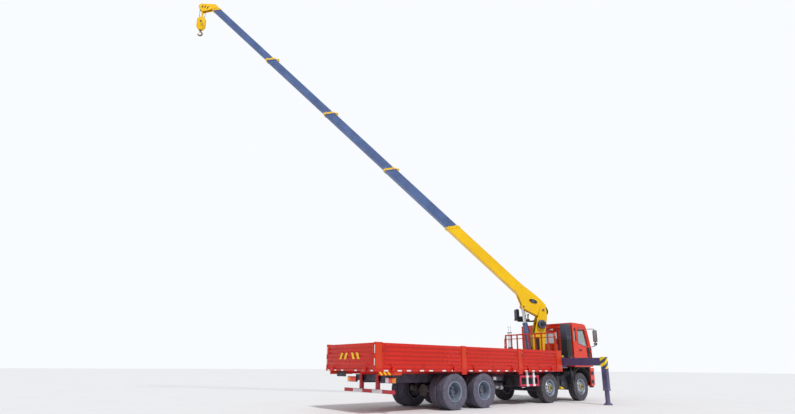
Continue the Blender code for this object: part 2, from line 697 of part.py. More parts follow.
def cab(mats):
    """Hollow cab with cut windows and door openings, and its two doors."""
    shape = prism(cab_outline(0), "Y", -CAB_HALF, CAB_HALF)
    inner = CAB_HALF - CAB_WALL
    tools = [prism(cab_outline(CAB_WALL), "Y", -inner, inner),
             prism([(CAB_FRONT - 0.30, WAIST + 0.06), (CAB_FRONT + 0.2, WAIST + 0.06),
                    (CAB_FRONT + 0.2, CAB_ROOF - 0.24), (CAB_FRONT - 0.45, CAB_ROOF - 0.24)], "Y", -1.06,
                    1.06),
             box((CAB_REAR - 0.1, -0.5, WAIST + 0.15), (CAB_REAR + 0.1, 0.5, CAB_ROOF - 0.35))]
    for side in SIDES.values():
        y0, y1 = sorted((side * (inner - 0.02), side * (CAB_HALF + 0.1)))
        tools.append(prism(door_outline(0), "Y", y0, y1))
        tools.append(prism([(CAB_REAR + 0.09, WAIST + 0.22), (DOOR_X[0] - 0.05, WAIST + 0.20),
                            (DOOR_X[0] - 0.05, CAB_ROOF - 0.20), (CAB_REAR + 0.09, CAB_ROOF - 0.20)], "Y",
                            y0, y1))
    cut(shape, tools)
    blocks = [door_hinge(side, z, False) for side in SIDES.values() for z in HINGE_STACK]
    piece("cab", joined(shape, blocks), mats["cab"])
    for key, side in SIDES.items():
        y0, y1 = sorted((side * (CAB_HALF - DOOR_T), side * CAB_HALF))
        door = prism(door_outline(RUN), "Y", y0, y1)
        cut(door, [prism(door_window(), "Y", -2, 2)])
        joined(door, [door_hinge(side, z, True) for z in HINGE_STACK])
        place = Matrix.Translation((HINGE_X, side * (CAB_HALF + DOOR_HINGE_OUT), 0))
        piece(f"door_{key}", localised(door, place), mats["cab"], place)
    outline = [(BUMPER_X, BUMPER_LOW), (11.30, BUMPER_LOW), (11.36, BUMPER_LOW + 0.08),
               (11.38, CAB_LOW - 0.04),
               (BUMPER_X, CAB_LOW - 0.04)]
    shell = prism(outline, "Y", -1.235, 1.235)
    hollow = box((BUMPER_X - 0.1, -1.195, BUMPER_LOW + 0.04), (BUMPER_WALL_X, 1.195, CAB_LOW - 0.08))
    piece("bumper", cut(shell, [hollow]), mats["cab"])
    outline = [(9.56, HOUSING_TOP + GAP), (9.88, HOUSING_TOP + GAP), (9.88, 2.96), (9.84, 3.0), (9.61, 3.0),
               (9.56, 2.90)]
    piece("air_intake", prism(outline, "Y", -1.20, -0.93), mats["intake"])


# ---------------------------------------------------------------- crane base and outriggers
def beam_box(key, grow=0.0, rest=0.0):
    """Outrigger beam of a side, or the hole it slides in."""
    x, side = BEAM_X[key], SIDES[key]
    half = BEAM_W / 2 + grow
    return x - half, x + half, side, BEAM_LOW - rest, BEAM_TOP + grow


def crane_base(mats):
    """Cross housings of the outriggers, feet on the frame and the fixed turntable ring."""
    reach = BEAM_PITCH / 2 + BEAM_W / 2 + 0.025
    shape = box((SLEW_X - reach, -0.45, FRAME_TOP + GAP), (SLEW_X + reach, 0.45, BEAM_LOW - 0.01))
    parts = []
    for key in SIDES:
        x = BEAM_X[key]
        half = BEAM_W / 2 + 0.025
        parts.append(box((x - half, -HOUSING_HALF, BEAM_LOW - 0.03), (x + half, HOUSING_HALF, HOUSING_TOP)))
    parts.append(box((SLEW_X - 0.06, -0.5, BEAM_LOW - 0.02), (SLEW_X + 0.06, 0.5, HOUSING_TOP - 0.001)))
    parts.append(rod("Z", (SLEW_X, 0, 0), 0.27, HOUSING_TOP - 0.01, RING_TOP, 24))
    joined(shape, parts)
    holes = []
    for key in SIDES:
        x0, x1, _, low, high = beam_box(key, RUN, SLIP)
        holes.append(box((x0, -HOUSING_HALF - 0.1, low), (x1, HOUSING_HALF + 0.1, high)))
    piece("crane_base", cut(shape, holes), mats["slate"])
    for key in SIDES:
        outrigger(key, mats)


def outrigger(key, mats):
    """Sliding beam with its leg tube, and the jack inside it."""
    x0, x1, side, low, high = beam_box(key)
    x = BEAM_X[key]
    beam = mirrored_box((x0, BEAM_IN, low), (x1, BEAM_OUT - 0.01, high), side)
    leg = mirrored_box((x - LEG_W / 2, BEAM_OUT - LEG_W, LEG_TUBE_LOW),
                       (x + LEG_W / 2, BEAM_OUT, high + 0.02), side)
    joined(beam, [leg])
    cut(beam, [rod("Z", (x, side * LEG_Y, 0), LEG_R + SLIP, LEG_TUBE_LOW - 0.1, BEAM_LOW)])
    place = Matrix.Translation((x, side * LEG_Y, 0))
    piece(f"outrigger_beam_{key}", localised(beam, place), mats["slate"], place)
    top = LEG_TUBE_LOW + 0.40
    profile = [(0, 0), (0, FOOT_R), (0.022, FOOT_R), (0.075, LEG_R + 0.01), (0.10, LEG_R + 0.01),
               (0.10, LEG_R),
               (top, LEG_R), (top, 0)]
    piece(f"jack_{key}", turned(profile, "Z", (0, 0, 0), 16), mats["slate"], place)


# ---------------------------------------------------------------- column
def cheek_outline():
    """Side view of a column cheek: waist, leaning neck and round head."""
    head = arc((PIVOT_S, PIVOT_Z), HEAD_R, 10, 190, 7)
    neck = PIVOT_Z - RING_TOP
    return [(COLUMN_REAR, RING_TOP + 0.10), (COLUMN_FRONT, RING_TOP + 0.10),
            (COLUMN_FRONT, RING_TOP + 0.45 * neck),
            (COLUMN_FRONT - 0.11, RING_TOP + 0.49 * neck), (COLUMN_FRONT - 0.16, RING_TOP + 0.64 * neck),
            *head, (PIVOT_S - 0.145, PIVOT_Z - 0.33), (COLUMN_REAR - 0.10, RING_TOP + 0.55 * neck)]


EAR_IN = 0.06
EAR_R = 0.075


def column(mats):
    """Turning column with cheeks, cylinder ears and winch motor; winch drum; operator's seat."""
    shape = rod("Z", (0, 0, 0), 0.28, RING_TOP + GAP, RING_TOP + 0.09, 24)
    waist = RING_TOP + 0.45 * (PIVOT_Z - RING_TOP)
    parts = [box((COLUMN_REAR, -COLUMN_HALF, RING_TOP + 0.08), (COLUMN_FRONT, COLUMN_HALF, waist))]
    for side in SIDES.values():
        low, high = sorted((side * (COLUMN_HALF - CHEEK_T), side * (COLUMN_HALF + 0.001)))
        parts.append(prism(cheek_outline(), "Y", low, high))
        ear = [(COLUMN_FRONT - 0.02, FOOT_Z - EAR_R), *arc((FOOT_S, FOOT_Z), EAR_R, -90, 90, 6),
               (COLUMN_FRONT - 0.02, FOOT_Z + EAR_R)]
        low, high = sorted((side * (EAR_IN + SLIP), side * (EAR_IN + 0.04)))
        parts.append(prism(ear, "Y", low, high))
    parts.append(rod("Y", (DRUM_S, 0, DRUM_Z), 0.165, COLUMN_HALF - 0.01, COLUMN_HALF + 0.13, 18))
    joined(shape, parts)
    pockets = []
    for side in SIDES.values():
        pockets.append(mirrored_box((0.0, COLUMN_HALF - 0.05, RING_TOP + 0.2), (0.16, COLUMN_HALF + 0.1,
                                                                               waist - 0.1), side))
    piece("column", cut(shape, pockets), mats["crane"], CRANE)
    half = COLUMN_HALF - CHEEK_T - SLIP
    profile = [(-half, 0), (-half, WINCH_R), (-half + 0.015, WINCH_R), (-half + 0.015, 0.085),
               (half - 0.015, 0.085), (half - 0.015, WINCH_R), (half, WINCH_R), (half, 0)]
    place = CRANE @ Matrix.Translation((DRUM_S, 0, DRUM_Z))
    piece("winch_drum", turned(profile, "Y", (0, 0, 0), 16), mats["steel"], place)
    seat(mats)


SEAT_LOW = FRAME_TOP + 2.11


def seat(mats):
    """Operator's seat on an arm at the column's far side."""
    inner = -COLUMN_HALF - 0.001 - GAP
    low = SEAT_LOW
    shape = box((-0.06, -0.46, low), (0.04, inner, low + 0.06))
    parts = [box((-0.06, -0.47, low + 0.001), (0.66, -0.40, low + 0.059)),
             box((0.34, -0.62, low + 0.055), (0.74, -0.24, low + 0.14)),
             box((0.64, -0.61, low + 0.13), (0.735, -0.25, low + 0.50))]
    piece("operator_seat", joined(shape, parts), mats["steel"], CRANE)


# ---------------------------------------------------------------- luffing cylinder
def luffing_cylinder(mats):
    """Barrel hinged at the column's ears and the rod that slides in it; X runs along the cylinder."""
    barrel = rod("X", (0, 0, 0), BARREL_R, 0.10, BARREL_L)
    parts = [rod("Y", (0, 0, 0), EYE_R, -EAR_IN, EAR_IN), box((0, -0.055, -0.05), (0.12, 0.055, 0.05))]
    joined(barrel, parts)
    cut(barrel, [rod("X", (0, 0, 0), ROD_R + SLIP, 0.115, BARREL_L + 0.1)])
    piece("luff_barrel", barrel, mats["slate_blue"], CYLINDER)
    low = CYLINDER_L - ROD_L
    shape = rod("X", (0, 0, 0), ROD_R, low, CYLINDER_L - 0.02)
    half = LUG_SLOT - SLIP
    joined(shape, [rod("Y", (CYLINDER_L, 0, 0), EYE_R, -half, half)])
    piece("luff_rod", shape, mats["chrome"], CYLINDER)


# ---------------------------------------------------------------- boom
def slanted(end, length, half_height, half_width):
    """A block along the boom whose two ends lean back."""
    lean = SLANT * 2 * half_height
    outline = [(end - length, -half_height), (end, -half_height), (end - lean, half_height),
               (end - length - lean, half_height)]
    return prism(outline, "Y", -half_width, half_width)


def boom_base(mats):
    """Root plates with the pivot bosses and cylinder lugs, and the first boom tube."""
    half_h, half_w = BASE_HW[0] / 2, BASE_HW[1] / 2
    lean = SLANT * BASE_HW[0]
    root = [(1.40, half_h - 0.001), (0.62, half_h + 0.07), (0.34, half_h + 0.07),
            *arc((0.12, 0.10), 0.17, 80, 170, 4),
            (-0.09, -0.02), (-0.09, -0.14), (0.02, -0.35), (LUG_T - 0.05, LUG_N - 0.075),
            *arc((LUG_T, LUG_N), 0.085, -80, 10, 4), (1.22, -half_h + 0.001)]
    shape = prism(root, "Y", -half_w - 0.0005, half_w + 0.0005)
    tube = [(1.0, -half_h), (BASE_END, -half_h), (BASE_END - lean, half_h), (1.0, half_h)]
    parts = [prism(tube, "Y", -half_w, half_w),
             slanted(BASE_END + 0.02, COLLAR_L, half_h + COLLAR_OUT, half_w + COLLAR_OUT),
             rod("Y", (0, 0, 0), 0.085, -COLUMN_HALF + CHEEK_T + SLIP, COLUMN_HALF - CHEEK_T - SLIP)]
    joined(shape, parts)
    slot = [(0.36, -0.8), (0.36, -half_h - 0.02), (1.5, -half_h - 0.02), (1.5, -0.8)]
    inner_h, inner_w = half_h - WALL_H, half_w - WALL_W
    tools = [prism(slot, "Y", -LUG_SLOT, LUG_SLOT),
             box((1.15, -inner_w, -inner_h), (BASE_END + 0.3, inner_w, inner_h))]
    piece("boom_base", cut(shape, tools), mats["crane"], BOOM)


def boom_sections(mats):
    """Telescoping tubes, each with slide pads at its rear and a collar at its front."""
    for k in range(1, 5):
        half_h, half_w = SECTION_H[k] / 2, SECTION_W[k] / 2
        pad_h = SECTION_H[k - 1] / 2 - WALL_H - SLIP
        pad_w = SECTION_W[k - 1] / 2 - WALL_W - SLIP
        rear, end = ENDS[k - 1] - NEST, ENDS[k]
        lean = SLANT * 2 * half_h
        tube = [(rear, -half_h), (end, -half_h), (end - lean, half_h), (rear, half_h)]
        shape = prism(tube, "Y", -half_w, half_w)
        collar = TIP_COLLAR_L if k == 4 else COLLAR_L
        parts = [box((rear + 0.001, -pad_w, -pad_h), (rear + 0.12, pad_w, pad_h)),
                 slanted(end - 0.001, collar, half_h + COLLAR_OUT, half_w + COLLAR_OUT)]
        joined(shape, parts)
        inner_h, inner_w = half_h - WALL_H, half_w - WALL_W
        cut(shape, [box((rear - 0.1, -inner_w, -inner_h), (end + 0.1, inner_w, inner_h))])
        if k == 4:
            joined(shape, head_parts(end, half_h, half_w))
        piece(f"boom_section_{k + 1}", shape, mats["slate_blue"], BOOM)


def head_parts(end, half_h, half_w):
    """Boom head: two cheeks bent down, a top web, the sheave and its pin."""
    outline = [(end - 0.16, half_h - 0.002), (end + 0.08, half_h + 0.02), (end + 0.55, -0.30),
               (end + 0.56, -0.44),
               (end + 0.44, -0.54), (end + 0.20, -0.54), (end + 0.02, -0.20), (end + 0.02, -half_h + 0.03)]
    web = [(end - 0.16, half_h - 0.004), (end + 0.08, half_h + 0.018), (end + 0.54, -0.30),
           (end + 0.50, -0.30),
           (end + 0.06, half_h - 0.03), (end - 0.16, half_h - 0.05)]
    thick = 0.02
    parts = [prism(web, "Y", -half_w + 0.004, half_w - 0.004)]
    for side in SIDES.values():
        low, high = sorted((side * (half_w - thick), side * half_w))
        parts.append(prism(outline, "Y", low, high))
    centre = (end + SHEAVE_T, 0, SHEAVE_N)
    parts.append(rod("Y", centre, SHEAVE_R, -SHEAVE_HALF, SHEAVE_HALF, 20))
    parts.append(rod("Y", centre, 0.03, -half_w - 0.01, half_w + 0.01, 12))
    return parts


SHEAVE_HALF = 0.02


def hook_block(mats):
    """Falls, block and hook hanging straight down from the head's pin."""
    body = [(-0.10, -0.52), (0.10, -0.52), (0.19, -0.64), (0.19, -1.04), (0.08, -1.20), (-0.08, -1.20),
            (-0.19, -1.04), (-0.19, -0.64)]
    shape = prism(body, "Y", -0.06, 0.06)
    parts = []
    for side in SIDES.values():
        low, high = SHEAVE_HALF + SLIP, SHEAVE_HALF + 0.015
        parts.append(mirrored_box((-0.03, low, -0.53), (0.03, high, -0.04), side))
    hook = [(-0.025, -1.18), (-0.025, -1.28), *arc((0.0, -1.40), 0.12, 110, 350, 8),
            *arc((0.0, -1.40), 0.065, 330, 90, 6), (0.025, -1.30), (0.025, -1.18)]
    parts.append(prism(hook, "Y", -0.022, 0.022))
    piece("hook_block", joined(shape, parts), mats["crane"], HOOK)


# ---------------------------------------------------------------- whole machine
def materials():
    """Paints and bare materials."""
    return {
        "body": paint("body_red", (0.60, 0.030, 0.018), 0.40),
        "cab": paint("cab_red", (0.78, 0.045, 0.012), 0.30),
        "crane": paint("crane_yellow", (0.95, 0.52, 0.0), 0.38),
        "slate_blue": paint("boom_slate", (0.10, 0.19, 0.40), 0.42),
        "slate": paint("outrigger_slate", (0.085, 0.080, 0.19), 0.45),
        "chassis": paint("chassis_grey", (0.045, 0.045, 0.070), 0.60),
        "axle": paint("axle_iron", (0.16, 0.12, 0.11), 0.70),
        "engine": paint("engine_iron", (0.10, 0.10, 0.11), 0.60, 0.5),
        "tank": paint("tank_aluminium", (0.55, 0.56, 0.58), 0.35, 1.0),
        "guard": paint("guard_white", (0.80, 0.80, 0.82), 0.40),
        "tyre": paint("tyre_rubber", (0.050, 0.048, 0.055), 0.80),
        "rim": paint("rim_steel", (0.30, 0.34, 0.40), 0.45, 0.3),
        "intake": paint("intake_plastic", (0.030, 0.035, 0.040), 0.60),
        "steel": paint("winch_steel", (0.10, 0.11, 0.19), 0.45, 0.3),
        "chrome": paint("rod_chrome", (0.90, 0.91, 0.93), 0.10, 1.0),
    }


def place_all():
    """Hang every piece on one empty and bring the bounding box's bottom centre to the origin."""
    corners = np.vstack([[frame @ vertex.co for vertex in shape.data.vertices]
                         for shape, frame in PIECES.values()])
    low, high = corners.min(axis=0), corners.max(axis=0)
    origin = bpy.data.objects.new("machine_origin", None)
    bpy.context.scene.collection.objects.link(origin)
    origin.location = (-(low[0] + high[0]) / 2, -(low[1] + high[1]) / 2, -low[2])
    for shape, frame in PIECES.values():
        shape.parent = origin
        shape.matrix_local = frame
        shape.data.shade_smooth()
        shape.data.set_sharp_from_angle(angle=math.radians(30))
    bpy.context.view_layer.update()
    return origin


def main():
    """Build every piece and place it."""
    clear_scene()
    mats = materials()
    wheels(mats)
    axles(mats)
    chassis(mats)
    driveline(mats)
    fittings(mats)
    cargo_body(mats)
    cab(mats)
    crane_base(mats)
    column(mats)
    luffing_cylinder(mats)
    boom_base(mats)
    boom_sections(mats)
    hook_block(mats)
    return place_all()


main()
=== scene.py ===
import json
import math

import bpy
from mathutils import Matrix, Vector


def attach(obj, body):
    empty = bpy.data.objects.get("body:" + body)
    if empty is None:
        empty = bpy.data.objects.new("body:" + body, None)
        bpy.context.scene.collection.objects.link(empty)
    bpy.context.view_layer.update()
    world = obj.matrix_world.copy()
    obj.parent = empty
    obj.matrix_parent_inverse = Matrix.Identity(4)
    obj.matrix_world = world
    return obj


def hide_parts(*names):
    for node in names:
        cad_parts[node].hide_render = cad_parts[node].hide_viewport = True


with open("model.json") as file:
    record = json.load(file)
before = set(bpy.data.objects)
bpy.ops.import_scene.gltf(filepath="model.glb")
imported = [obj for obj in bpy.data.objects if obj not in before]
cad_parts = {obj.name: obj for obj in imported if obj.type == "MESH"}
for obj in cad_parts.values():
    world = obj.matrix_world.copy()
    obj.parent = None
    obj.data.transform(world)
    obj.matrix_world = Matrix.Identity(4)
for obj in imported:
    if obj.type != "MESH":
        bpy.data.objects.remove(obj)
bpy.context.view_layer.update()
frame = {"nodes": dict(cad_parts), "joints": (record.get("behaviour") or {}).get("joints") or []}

bl_info = {
    "name": "Truck crane",
    "version": (1, 0, 0),
    "blender": (4, 5, 0),
    "location": "3D View > Sidebar > Truck crane",
    "description": "Dresses the truck crane's frame with its finishes and fittings",
    "category": "Add Mesh",
}

SIDES = (("r", -1), ("l", 1))


# ---------------------------------------------------------------- places on the frame
def joint(name):
    """A joint of the frame by name."""
    return next(item for item in frame["joints"] if item["name"] == name)


def spot(name):
    """Where a joint is."""
    return Vector(joint(name)["pos_m"])


def axes(origin, along, across):
    """A frame with X along, Y across and Z square to both."""
    along, across = Vector(along).normalized(), Vector(across).normalized()
    rows = Matrix((along, across, along.cross(across))).transposed().to_4x4()
    return Matrix.Translation(origin) @ rows


# Lengths in metres on the lorry: X forward from the body's rear end, Y to the left, Z up from the ground.
BODY_FACE = 1.25
DECK_TOP = 1.26
SIDE_TOP = 1.884
AXLE_X = (10.45, 8.27, 4.44, 3.09)
KINGPIN_Y = 0.85
TYRE_R = 0.542
RIM_R = 0.305
SLEW_X = 9.36
BEAM_X = {"r": 9.18, "l": 9.54}
LEG_Y = 2.83
# On the column: X ahead of the slew axis, Z up from the ground.
PIVOT_X, PIVOT_Z = -0.237, 3.618
WINCH_X, WINCH_Z = -0.12, 3.02
# On the boom: the front end, height and width of each section, and how far its front face leans.
SECTION_END = (5.313, 9.080, 12.847, 16.626, 20.254)
SECTION_H = (0.421, 0.385, 0.349, 0.313, 0.277)
SECTION_W = (0.280, 0.2505, 0.221, 0.1915, 0.162)
SLANT = 0.70

LORRY = Matrix.Translation(spot("steering_1_r") - Vector((AXLE_X[0], -KINGPIN_Y, TYRE_R)))
ACROSS = -Vector(joint("luff")["axis"])
SLEW = spot("slew")
COLUMN = axes((SLEW.x, SLEW.y, 0), ACROSS.cross(Vector((0, 0, 1))), ACROSS)
BOOM = axes(spot("luff"), joint("telescope_2")["axis"], ACROSS)
CYLINDER = axes(spot("luff_barrel_pin"), joint("luff_rod_slide")["axis"], ACROSS)
HOOK = axes(spot("hook_swing"), ACROSS.cross(Vector((0, 0, 1))), ACROSS)


# ---------------------------------------------------------------- sizes and colours
def size(label, value, text):
    """A length property."""
    return bpy.props.FloatProperty(name=label, default=value, unit="LENGTH", description=text)


def tint(label, value, text):
    """A colour property."""
    return bpy.props.FloatVectorProperty(name=label, default=value, size=3, subtype="COLOR",
                                         min=0.0, max=1.0, description=text)


class CraneSizes(bpy.types.PropertyGroup):
    """Sizes a user may change."""
    tread: size("Tread depth", 0.012, "Depth of the tyre's grooves")
    tyre_half: size("Tyre half width", 0.149, "Half of one tyre's width")
    glass: size("Glass thickness", 0.006, "Thickness of the cab's panes")
    tape: size("Tape height", 0.036, "Height of the reflecting tape")
    hose: size("Hose radius", 0.011, "Radius of the hydraulic hoses")
    rope: size("Rope radius", 0.007, "Radius of the hoist rope")
    board: size("Board width", 0.192, "Width of one floor board")
    bolt: size("Bolt size", 0.012, "Radius of the bolt heads")


class CraneColours(bpy.types.PropertyGroup):
    """Colours a user may change."""
    body: tint("Body red", (0.64, 0.020, 0.009), "Cargo body paint")
    cab: tint("Cab red", (0.78, 0.036, 0.008), "Cab paint")
    crane: tint("Crane yellow", (1.0, 0.58, 0.0), "Column and base boom paint")
    boom: tint("Boom slate", (0.070, 0.125, 0.30), "Telescoping sections and cylinder")
    outrigger: tint("Outrigger slate", (0.075, 0.070, 0.18), "Beams and legs")
    chassis: tint("Chassis", (0.050, 0.052, 0.085), "Frame paint under its dust")
    rim: tint("Rim", (0.30, 0.36, 0.45), "Wheel steel")
    rubber: tint("Rubber", (0.040, 0.038, 0.042), "Tyre rubber")
    dust: tint("Dust", (0.20, 0.18, 0.22), "Road dust")


# ---------------------------------------------------------------- finishes
class Finish:
    """A procedural material on object coordinates, built in layers."""

    def __init__(self, name, rough=0.45, metal=0.0, coat=0.0, shine=0.5):
        self.material = bpy.data.materials.new(name)
        self.material.use_nodes = True
        self.tree = self.material.node_tree
        self.shader = self.tree.nodes["Principled BSDF"]
        self.shader.inputs["Metallic"].default_value = metal
        self.shader.inputs["Coat Weight"].default_value = coat
        self.shader.inputs["Specular IOR Level"].default_value = shine
        self.shader.inputs["Coat Roughness"].default_value = 0.08
        self.rough = rough
        self.place = self.add("ShaderNodeTexCoord").outputs["Object"]
        self.colour = None

    def add(self, kind, **values):
        """A node with its values set."""
        node = self.tree.nodes.new(kind)
        for key, value in values.items():
            setattr(node, key, value)
        return node

    def put(self, socket, value):
        """A link or a plain value on a socket."""
        if hasattr(value, "is_output"):
            self.tree.links.new(value, socket)
        else:
            socket.default_value = value

    def math(self, operation, *values):
        """A maths node."""
        node = self.add("ShaderNodeMath", operation=operation)
        for socket, value in zip(node.inputs, values):
            self.put(socket, value)
        return node.outputs[0]

    def noise(self, scale, detail=4.0, stretch=None):
        """Noise between 0 and 1, stretched along an axis if asked."""
        place = self.place
        if stretch:
            mapping = self.add("ShaderNodeMapping")
            mapping.inputs["Scale"].default_value = stretch
            self.put(mapping.inputs["Vector"], place)
            place = mapping.outputs[0]
        node = self.add("ShaderNodeTexNoise")
        node.inputs["Scale"].default_value = scale
        node.inputs["Detail"].default_value = detail
        self.put(node.inputs["Vector"], place)
        return node.outputs["Fac"]

    def fade(self, value, low, high, to_low=0.0, to_high=1.0):
        """A value mapped from one span to another and clamped."""
        node = self.add("ShaderNodeMapRange")
        for socket, number in zip(node.inputs, (value, low, high, to_low, to_high)):
            self.put(socket, number)
        return node.outputs[0]

    def split(self):
        """The X, Y and Z of a point."""
        node = self.add("ShaderNodeSeparateXYZ")
        self.put(node.inputs[0], self.place)
        return node.outputs

    def mix(self, factor, first, second):
        """Two colours mixed."""
        node = self.add("ShaderNodeMix", data_type="RGBA")
        self.put(node.inputs["Factor"], factor)
        self.put(node.inputs["A"], first if hasattr(first, "is_output") else (*first, 1.0))
        self.put(node.inputs["B"], second if hasattr(second, "is_output") else (*second, 1.0))
        return node.outputs["Result"]

    def base(self, colour, spread=0.18, scale=2.5):
        """The paint's own colour, a little uneven."""
        dark = [channel * (1 - spread) for channel in colour]
        light = [min(1.0, channel * (1 + spread * 0.6) + spread * 0.01) for channel in colour]
        self.colour = self.mix(self.fade(self.noise(scale), 0.3, 0.7), dark, light)
        return self

    def layer(self, colour, factor):
        """Another colour over the first."""
        self.colour = self.mix(factor, self.colour, colour)
        return self

    def dusty(self, colour, top=1.3, amount=0.7, scale=5.0):
        """Dust that thins out upwards."""
        rise = self.fade(self.split()[2], 0.0, top, amount, 0.0)
        return self.layer(colour,
                          self.math("MULTIPLY", rise, self.fade(self.noise(scale, 8.0), 0.35, 0.62)))

    def rusty(self, amount=0.5, scale=11.0):
        """Rust in patches."""
        patch = self.fade(self.noise(scale, 8.0), 0.66 - 0.2 * amount, 0.72, 0.0, 0.85)
        return self.layer((0.17, 0.065, 0.028), patch)

    def done(self, bump=0.12, grain=60.0, spread=0.10):
        """Roughness and bump from noise, and the material itself."""
        fine = self.noise(grain, 6.0)
        self.put(self.shader.inputs["Base Color"], self.colour)
        self.put(self.shader.inputs["Roughness"],
                 self.fade(self.noise(7.0, 6.0), 0.3, 0.7, max(0.03, self.rough - spread),
                           self.rough + spread))
        node = self.add("ShaderNodeBump")
        node.inputs["Strength"].default_value = bump
        node.inputs["Distance"].default_value = 0.004
        self.put(node.inputs["Height"], fine)
        self.put(self.shader.inputs["Normal"], node.outputs[0])
        return self.material

    def along(self, origin, direction):
        """Distance of a point along a direction, from an origin."""
        shift = self.add("ShaderNodeVectorMath", operation="SUBTRACT")
        self.put(shift.inputs[0], self.place)
        shift.inputs[1].default_value = origin
        node = self.add("ShaderNodeVectorMath", operation="DOT_PRODUCT")
        self.put(node.inputs[0], shift.outputs[0])
        node.inputs[1].default_value = direction
        return node.outputs["Value"]


FINISHES = {}


def section_finish(number, colours):
    """Slate paint on a telescoping section, its collar and head in crane yellow."""
    end, high = SECTION_END[number - 1], SECTION_H[number - 1]
    collar = 0.10 if number == 5 else 0.09
    look = Finish(f"section_{number}_paint", 0.38, coat=0.25).base(colours.boom, 0.22)
    look.layer((0.10, 0.16, 0.32), look.fade(look.noise(1.2, 4.0), 0.50, 0.75, 0.0, 0.4))
    slope = BOOM.to_3x3() @ Vector((1, 0, SLANT))
    edge = end - collar - 0.001 - SLANT * (high / 2 + 0.015)
    mask = look.math("GREATER_THAN", look.along(BOOM.translation, slope), edge)
    look.layer(colours.crane, mask)
    return look.done(0.06)


def beam_finish(colours):
    """Outrigger paint with yellow and black stripes at the beam's end and the leg's top."""
    look = Finish("outrigger_paint", 0.42, coat=0.1).base(colours.outrigger, 0.25)
    look.dusty(colours.dust, 1.6, 0.6)
    x, y, z = look.split()
    stripe_from, stripe_above, pitch = 2.735, 1.25, 0.24
    out = look.math("ABSOLUTE", look.math("SUBTRACT", y, LORRY.translation.y))
    far = look.math("GREATER_THAN", out, stripe_from)
    high = look.math("GREATER_THAN", z, stripe_above)
    slope = look.math("ADD", look.math("SUBTRACT", z, look.math("MULTIPLY", x, 0.7)),
                      look.math("MULTIPLY", out, -0.6))
    wave = look.math("SINE", look.math("ADD", look.math("MULTIPLY", slope, 2 * math.pi / pitch), 0.6))
    stripes = look.mix(look.math("GREATER_THAN", wave, 0.0), colours.outrigger, (0.92, 0.72, 0.0))
    return look.layer(stripes, look.math("MULTIPLY", far, high)).done(0.1)


def guard_finish():
    """Red rails, white round the two posts."""
    look = Finish("guard_tape", 0.35).base((0.60, 0.02, 0.07), 0.08)
    x = look.math("SUBTRACT", look.split()[0], LORRY.translation.x)
    for post in (6.81, 7.20):
        near = look.math("LESS_THAN", look.math("ABSOLUTE", look.math("SUBTRACT", x, post)), 0.075)
        look.layer((0.80, 0.80, 0.82), near)
    return look.done(0.02)


def glass_finish():
    """Tinted cab glass with a little dirt."""
    look = Finish("cab_glass", 0.03).base((0.86, 0.90, 0.90), 0.03)
    look.layer((0.62, 0.60, 0.56), look.fade(look.noise(4.0, 6.0), 0.60, 0.8, 0.0, 0.15))
    look.shader.inputs["Transmission Weight"].default_value = 0.97
    look.shader.inputs["IOR"].default_value = 1.05
    return look.done(0.0, spread=0.02)


def lens_finish(name, colour, glow=0.15):
    """Ribbed lamp lens."""
    look = Finish(name, 0.15, coat=0.6).base(colour, 0.15, 30.0)
    look.shader.inputs["Emission Color"].default_value = (*colour, 1.0)
    look.shader.inputs["Emission Strength"].default_value = glow
    return look.done(0.2, 90.0, 0.05)


